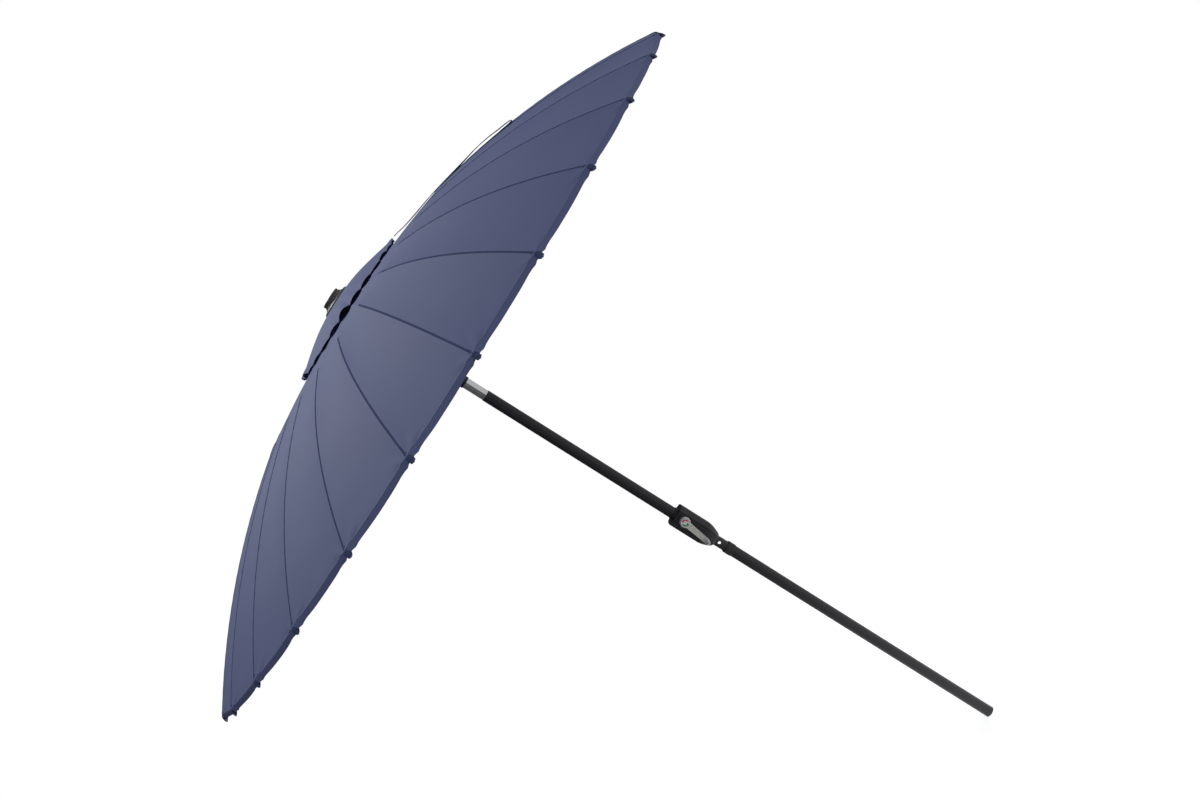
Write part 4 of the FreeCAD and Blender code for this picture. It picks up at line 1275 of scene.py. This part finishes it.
@dataclass(frozen=True)
class HousingHalf:
    """One half of the housing that the crank turns in.

    Its flank is the share of the half width that slopes, and a grooved half has a groove
    on each side of a raised middle.
    """

    side: Side
    node: str
    name: str
    depth: float
    nose_depth: float
    flank: float
    grooved: bool
    groove_share: float = 0.46
    bore: float = 0.0193
    parting: float = 0.0002
    end_bevel: float = 0.0012

    def section(self, wide: float, deep: float) -> list[tuple[float, float]]:
        """The half's section at one height.

        Args:
            wide: Half of its width there.
            deep: Its reach from the pole's axis.

        Returns:
            Corners as (x, reach), from the parting face over the front and back by the bore.
        """
        band = wide * (1 - self.flank)
        outer = [(wide, self.parting), (wide, deep * 0.45), (wide - 0.0008, deep * 0.52),
                 (band + 0.0012, deep * 0.90), (band, deep * 0.925)]
        if self.grooved:
            groove = wide * self.groove_share
            outer += [(groove + 0.0016, deep * 0.945), (groove + 0.0012, deep * 0.885),
                      (groove, deep * 0.885), (groove - 0.0005, deep * 0.975),
                      (groove - 0.0022, deep), (groove * 0.5, deep)]
        else:
            outer += [(band * 0.9, deep), (band * 0.5, deep)]
        outer += [(-x, y) for x, y in reversed(outer)]
        steps = 16
        inner = [(-self.bore * math.cos(math.pi * step / steps),
                  max(self.parting, self.bore * math.sin(math.pi * step / steps)))
                 for step in range(steps + 1)]
        return outer + inner

    def build(self, low: Vector, high: Vector, shoulder: float, foot: float,
              paint: Paintbox) -> None:
        """Make the half between the corners of the case.

        Args:
            low: The case's low corner.
            high: The case's high corner.
            shoulder: The height where the case reaches its full width.
            foot: Half of its width at its foot.
            paint: The finishes.
        """
        wide = high.x
        rings = []
        nose, straight = 14, 6
        stations = [low.z + (shoulder - low.z) * (i / nose) for i in range(nose + 1)]
        stations += [shoulder + (high.z - 0.0015 - shoulder) * i / straight
                     for i in range(1, straight + 1)] + [high.z]
        for index, height in enumerate(stations):
            share = min(1.0, (height - low.z) / (shoulder - low.z))
            swell = math.sin(share * math.pi / 2) ** 0.82
            half = foot + (wide - foot) * swell
            deep = self.nose_depth + (self.depth - self.nose_depth) * swell
            if index in (0, len(stations) - 1):
                half, deep = half - self.end_bevel, deep - self.end_bevel
            rings.append([Vector((x, self.side.value * y, height))
                          for x, y in self.section(half, deep)])
        if self.side is Side.REAR:
            rings = [list(reversed(ring)) for ring in rings]
        shell = loft(self.name, rings, sharp=25.0)
        finish_piece(shell, paint, "housing_plastic")
        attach(shell, "pole")
        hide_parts(self.node)


@dataclass
class CrankHousing:
    """The two halves of the housing with their neck ring."""

    paint: Paintbox
    low: float = 1.167
    shoulder: float = 1.222
    foot: float = 0.0212
    neck: float = 0.008
    neck_reach: float = 0.0220
    bore: float = 0.0193
    halves: tuple[HousingHalf, ...] = (
        HousingHalf(Side.FRONT, "housing_front", "housing_front_shell", 0.032, 0.0235,
                    0.38, True),
        HousingHalf(Side.REAR, "housing_rear", "housing_rear_shell", 0.0274, 0.0220,
                    0.12, False),
    )

    def build(self) -> None:
        """Make both halves and the neck ring in the place of their solids."""
        low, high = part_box("housing_front")
        bottom = Vector((low.x, low.y, self.low))
        top = Vector((high.x, high.y, high.z - self.neck))
        for half in self.halves:
            half.build(bottom, top, self.shoulder, self.foot, self.paint)
        bore, reach = self.bore, self.neck_reach
        ring = turned("housing_neck", rounded([
            (bore, top.z - 0.006), (reach, top.z - 0.006), (reach, top.z + 0.0025),
            (reach - 0.0012, top.z + 0.0030), (reach - 0.0012, top.z + 0.0045),
            (reach, top.z + 0.0050), (reach, high.z), (bore, high.z)], 0.0006))
        finish_piece(ring, self.paint, "housing_plastic")
        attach(ring, "pole")
        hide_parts("housing_front")


# --- crank ------------------------------------------------------------------------------


@dataclass
class Crank:
    """The hub, the ridged arm, the badge and the knob."""

    paint: Paintbox
    height: float = 1.297
    lean: float = math.radians(8.0)
    hub_reach: float = 0.018
    hub_back: float = 0.0345
    hub_front: float = 0.048
    arm_length: float = 0.098
    arm_wide: float = 0.0115
    arm_narrow: float = 0.0090
    arm_end: float = 0.0096
    knob_reach: float = 0.0075
    knob_length: float = 0.0245
    pin_bore: float = 0.0032
    badge_reach: float = 0.0165
    ridges: int = 7
    ridge_depth: float = 0.0007

    def facing(self, x: float = 0.0, z: float = 0.0) -> Matrix:
        """A place for a piece turned about the axis that points out of the crank."""
        return Matrix.Translation((x, 0, self.height + z)) @ Matrix.Rotation(
            math.pi / 2, 4, "X")

    def put(self, piece: bpy.types.Object, material: str, node: str,
            body: str = "crank") -> None:
        """Dress a piece of the crank, tie it to its body and retire its node."""
        finish_piece(piece, self.paint, material)
        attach(piece, body)
        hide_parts(node)

    def build_hub(self) -> None:
        """Make the round hub with its stepped rim."""
        reach, back, front = self.hub_reach, self.hub_back, self.hub_front
        hub = turned("crank_hub", rounded([
            (0.0052, back), (reach - 0.001, back), (reach, back + 0.0015),
            (reach, front - 0.0035), (reach - 0.0008, front - 0.0030),
            (reach - 0.0008, front - 0.0002), (0.0052, front - 0.0002)], 0.0005),
            place=self.facing())
        self.put(hub, "arm_grey", "crank_arm")

    def build_arm(self) -> None:
        """Make the tapered arm with ridges along it and a round end."""
        across = 57
        rings = []
        ends = [0.0, 0.25, 0.45, 0.62, 0.76, 0.87, 0.95, 0.99]
        reaches = [0.008 + (self.arm_length - 0.008) * i / 24 for i in range(25)]
        reaches += [self.arm_length + self.arm_end * end for end in ends]
        face, back = self.hub_front - 0.0008, self.hub_front - 0.009
        sin, cos = math.sin(self.lean), math.cos(self.lean)
        for reach in reaches:
            share = min(1.0, reach / self.arm_length)
            half = self.arm_wide + (self.arm_narrow - self.arm_wide) * share
            past = max(0.0, reach - self.arm_length)
            half *= math.sqrt(max(0.01, 1 - (past / self.arm_end) ** 2))
            ridge = self.ridge_depth * smooth((reach - 0.020) / 0.004) * smooth(
                (self.arm_length - 0.010 - reach) / 0.004)
            ring = []
            for step in range(across):
                side = 2 * step / (across - 1) - 1
                dip = ridge * (0.5 + 0.5 * math.cos(math.pi * self.ridges * side * 1.12))
                dip *= 1.0 if abs(side) < 0.88 else 0.0
                edge = 0.0012 * smooth((abs(side) - 0.92) / 0.08)
                ring.append((side * half, face - dip - edge))
            ring += [(half * 0.96, back), (-half * 0.96, back)]
            rings.append([
                Vector((x * cos - reach * sin, -y, self.height - reach * cos - x * sin))
                for x, y in ring])
        arm = loft("crank_arm_ridged", rings, sharp=28.0)
        self.put(arm, "arm_grey", "crank_arm")

    def build_badge(self) -> None:
        """Make the badge: a bright bezel, a pale disc and two plain turning arrows."""
        front, reach = self.hub_front, self.badge_reach
        bezel = turned("badge_bezel", rounded([
            (reach - 0.0024, front), (reach, front), (reach, front + 0.0016),
            (reach - 0.0009, front + 0.0027), (reach - 0.0017, front + 0.0027),
            (reach - 0.0024, front + 0.0017)], 0.0005), place=self.facing())
        self.put(bezel, "crank_chrome", "crank_badge")
        disc = turned("badge_disc", rounded([
            (0.0004, front), (reach - 0.0025, front), (reach - 0.0025, front + 0.0015),
            (0.0055, front + 0.0018), (0.0004, front + 0.0019)], 0.0003), place=self.facing())
        self.put(disc, "badge_face", "crank_badge")
        for name, start, material in (("badge_arrow_up", -29.0, "badge_red"),
                                      ("badge_arrow_down", 151.0, "badge_green")):
            arrow = loft(name, self.arrow(math.radians(start), 0.0094, 0.0021))
            self.put(arrow, material, "crank_badge")

    def arrow(self, start: float, middle: float, half: float) -> list[Ring]:
        """The two faces of a curved arrow on the badge.

        Args:
            start: The angle of its tail from +X towards +Z, in radians.
            middle: The radius of its middle line.
            half: Half of its width.

        Returns:
            Its back ring and its front ring.
        """
        steps, sweep, head = 14, math.radians(118.0), math.radians(30.0)
        outline = [(middle + half, start + sweep * step / steps) for step in range(steps + 1)]
        outline += [(middle + half * 2.2, start + sweep), (middle, start + sweep + head),
                    (middle - half * 2.2, start + sweep)]
        outline += [(middle - half, start + sweep * step / steps)
                    for step in range(steps, -1, -1)]
        faces = []
        for depth in (self.hub_front + 0.0010, self.hub_front + 0.0024):
            faces.append([Vector((reach * math.cos(angle), -depth,
                                  self.height + reach * math.sin(angle)))
                          for reach, angle in outline])
        return faces

    def build_knob(self) -> None:
        """Make the knob that turns on its pin, with rings cut round it."""
        near, reach, bore = self.hub_front + 0.0003, self.knob_reach, self.pin_bore
        far = near + self.knob_length
        outline = [(bore, near), (reach - 0.002, near), (reach - 0.0006, near + 0.003)]
        for groove in range(4):
            at = near + 0.0065 + groove * 0.0036
            outline += [(reach, at - 0.0012), (reach - 0.0006, at - 0.0005),
                        (reach - 0.0006, at + 0.0005), (reach, at + 0.0012)]
        outline += [(reach - 0.0006, far - 0.0035), (bore, far - 0.0035)]
        sin, cos = math.sin(self.lean), math.cos(self.lean)
        place = self.facing(-self.arm_length * sin, -self.arm_length * cos)
        knob = turned("knob_grip", rounded(outline, 0.0005), steps=64, place=place)
        self.put(knob, "knob_plastic", "crank_knob", body="knob")
        # the end cap's cream colour is a painted highlight on the knob's end
        cap = turned("knob_cap", rounded([
            (bore, far - 0.0034), (reach - 0.0008, far - 0.0034),
            (reach - 0.0012, far - 0.0012), (reach - 0.0028, far), (0.0050, far),
            (0.0050, far - 0.0012), (bore, far - 0.0012)], 0.0005), steps=64, place=place)
        self.put(cap, "knob_cream", "crank_knob", body="knob")

    def build(self) -> None:
        """Make every piece of the crank."""
        self.build_hub()
        self.build_arm()
        self.build_badge()
        self.build_knob()


# --- carried-over pieces ---------------------------------------------------------------


@dataclass
class CarriedOver:
    """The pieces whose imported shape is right, which get better materials."""

    paint: Paintbox

    def build(self) -> None:
        """Repaint each shown piece with the finish of its slot."""
        slots = {row["node"]: row["material_slot"] for row in frame["record"]["subparts"]}
        for name, thing in frame["nodes"].items():
            if thing.hide_render:
                continue
            self.paint.repaint(thing, slots[name])
            LOG.info("repainted %s as %s", name, slots[name])


# --- studio -----------------------------------------------------------------------------


@dataclass(frozen=True)
class Lamp:
    """A soft square lamp."""

    name: str
    place: tuple[float, float, float]
    aim: tuple[float, float, float]
    size: float
    power: float

    def build(self) -> None:
        """Hang the lamp and turn it to what it lights."""
        data = bpy.data.lights.new(self.name, "AREA")
        data.shape, data.size, data.energy = "SQUARE", self.size, self.power
        lamp = bpy.data.objects.new(self.name, data)
        place = Vector(self.place)
        lamp.matrix_world = Matrix.Translation(place) @ (
            Vector(self.aim) - place).to_track_quat("-Z", "Y").to_matrix().to_4x4()
        bpy.context.scene.collection.objects.link(lamp)


@dataclass
class Studio:
    """The camera, the lights and the floor."""

    eye: Vector = field(default_factory=lambda: Vector((0.500, -4.171, 2.414)))
    aim: Vector = field(default_factory=lambda: Vector((0.187, 0.0, 1.751)))
    up: Vector = field(default_factory=lambda: Vector((0.835, 0.147, 0.531)))
    lens: float = 38.97
    floor_reach: float = 3.2
    floor_height: float = -0.0015
    floor_glow: float = 0.8
    dim_side: float = 0.08
    bright_side: float = 0.50
    lamps: tuple[Lamp, ...] = (
        Lamp("key", (-1.2, 2.4, 6.6), (0, 0, 2.3), 1.8, 140.0),
        Lamp("front", (-1.6, -5.2, 3.2), (0, 0, 1.9), 2.4, 30.0),
    )

    def build_camera(self) -> None:
        """Set up the camera, which sees the parasol lying over to its side."""
        forward = (self.aim - self.eye).normalized()
        right = forward.cross(self.up).normalized()
        upward = right.cross(forward)
        turn = Matrix((right, upward, -forward)).transposed()
        data = bpy.data.cameras.new("camera")
        data.lens = self.lens
        data.sensor_width = 36.0
        camera = bpy.data.objects.new("camera", data)
        camera.matrix_world = Matrix.Translation(self.eye) @ turn.to_4x4()
        bpy.context.scene.collection.objects.link(camera)
        bpy.context.scene.camera = camera

    def build_floor(self) -> None:
        """Lay a pale round floor that fades out at its edge."""
        rings, steps = 12, 96
        points = [Vector((0, 0, self.floor_height))]
        for ring in range(1, rings + 1):
            reach = self.floor_reach * ring / rings
            points += [polar(TURN * step / steps, reach, 0, self.floor_height)
                       for step in range(steps)]
        faces = [[0, 1 + step, 1 + (step + 1) % steps] for step in range(steps)]
        for ring in range(rings - 1):
            low, high = 1 + ring * steps, 1 + (ring + 1) * steps
            for step in range(steps):
                after = (step + 1) % steps
                faces.append([low + step, high + step, high + after, low + after])
        floor = mesh_object("floor", points, faces)
        graph, shader = start_material("floor_white", 0.0)
        place = graph.add("ShaderNodeTexCoord").outputs["Object"]
        reach = graph.add("ShaderNodeVectorMath", {0: place}, operation="LENGTH").outputs[1]
        alpha = graph.spread(reach, 1.0, 0.0, self.floor_reach * 0.15, self.floor_reach * 0.95)
        speck = graph.add("ShaderNodeTexNoise", {"Vector": place, "Scale": 30.0})
        graph.feed(shader.inputs["Base Color"], graph.mix(
            graph.spread(speck.outputs["Fac"], 0.0, 1.0), (0.93, 0.93, 0.93), (0.96, 0.96, 0.96)))
        graph.feed(shader.inputs["Roughness"], 0.9)
        graph.feed(shader.inputs["Emission Color"], (1.0, 1.0, 1.0))
        graph.feed(shader.inputs["Emission Strength"], self.floor_glow)
        graph.feed(shader.inputs["Alpha"], alpha)
        floor.data.materials.append(bpy.data.materials["floor_white"])
        floor.visible_shadow = False

    def build_world(self) -> None:
        """White to the camera, and elsewhere a wide soft light from +X over a dim room."""
        world = bpy.data.worlds.new("world")
        bpy.context.scene.world = world
        world.use_nodes = True
        graph = Graph(world.node_tree)
        seen = graph.add("ShaderNodeLightPath").outputs["Is Camera Ray"]
        way = graph.add("ShaderNodeTexCoord").outputs["Generated"]
        split = graph.add("ShaderNodeSeparateXYZ", {"Vector": way})
        around = graph.spread(split.outputs["X"], self.dim_side, self.bright_side, 0.22, 0.50)
        strength = graph.math("MAXIMUM", seen, around)
        back = graph.add("ShaderNodeBackground", {
            "Color": (1.0, 1.0, 1.0), "Strength": strength})
        graph.add("ShaderNodeOutputWorld", {"Surface": back.outputs[0]})

    def build(self) -> None:
        """Set up the whole studio."""
        self.build_camera()
        self.build_world()
        self.build_floor()
        for lamp in self.lamps:
            lamp.build()
        bpy.context.scene.view_settings.view_transform = "Standard"
        LOG.info("set up the studio")


def main() -> None:
    """Build every piece of the parasol in order."""
    logging.basicConfig(level=logging.INFO, format="%(message)s")
    studio = Studio()
    studio.build()
    ribs = RibLine.from_record(frame["record"])
    paint = Paintbox()
    canopy = Canopy(ribs, paint)
    canopy.build()
    VentCap(ribs, paint).build()
    ClosingStrap(canopy, paint).build()
    Struts(ribs, paint).build()
    Finial(paint).build()
    CrankHousing(paint).build()
    Crank(paint).build()
    CarriedOver(paint).build()


if __name__ == "__main__":
    main()
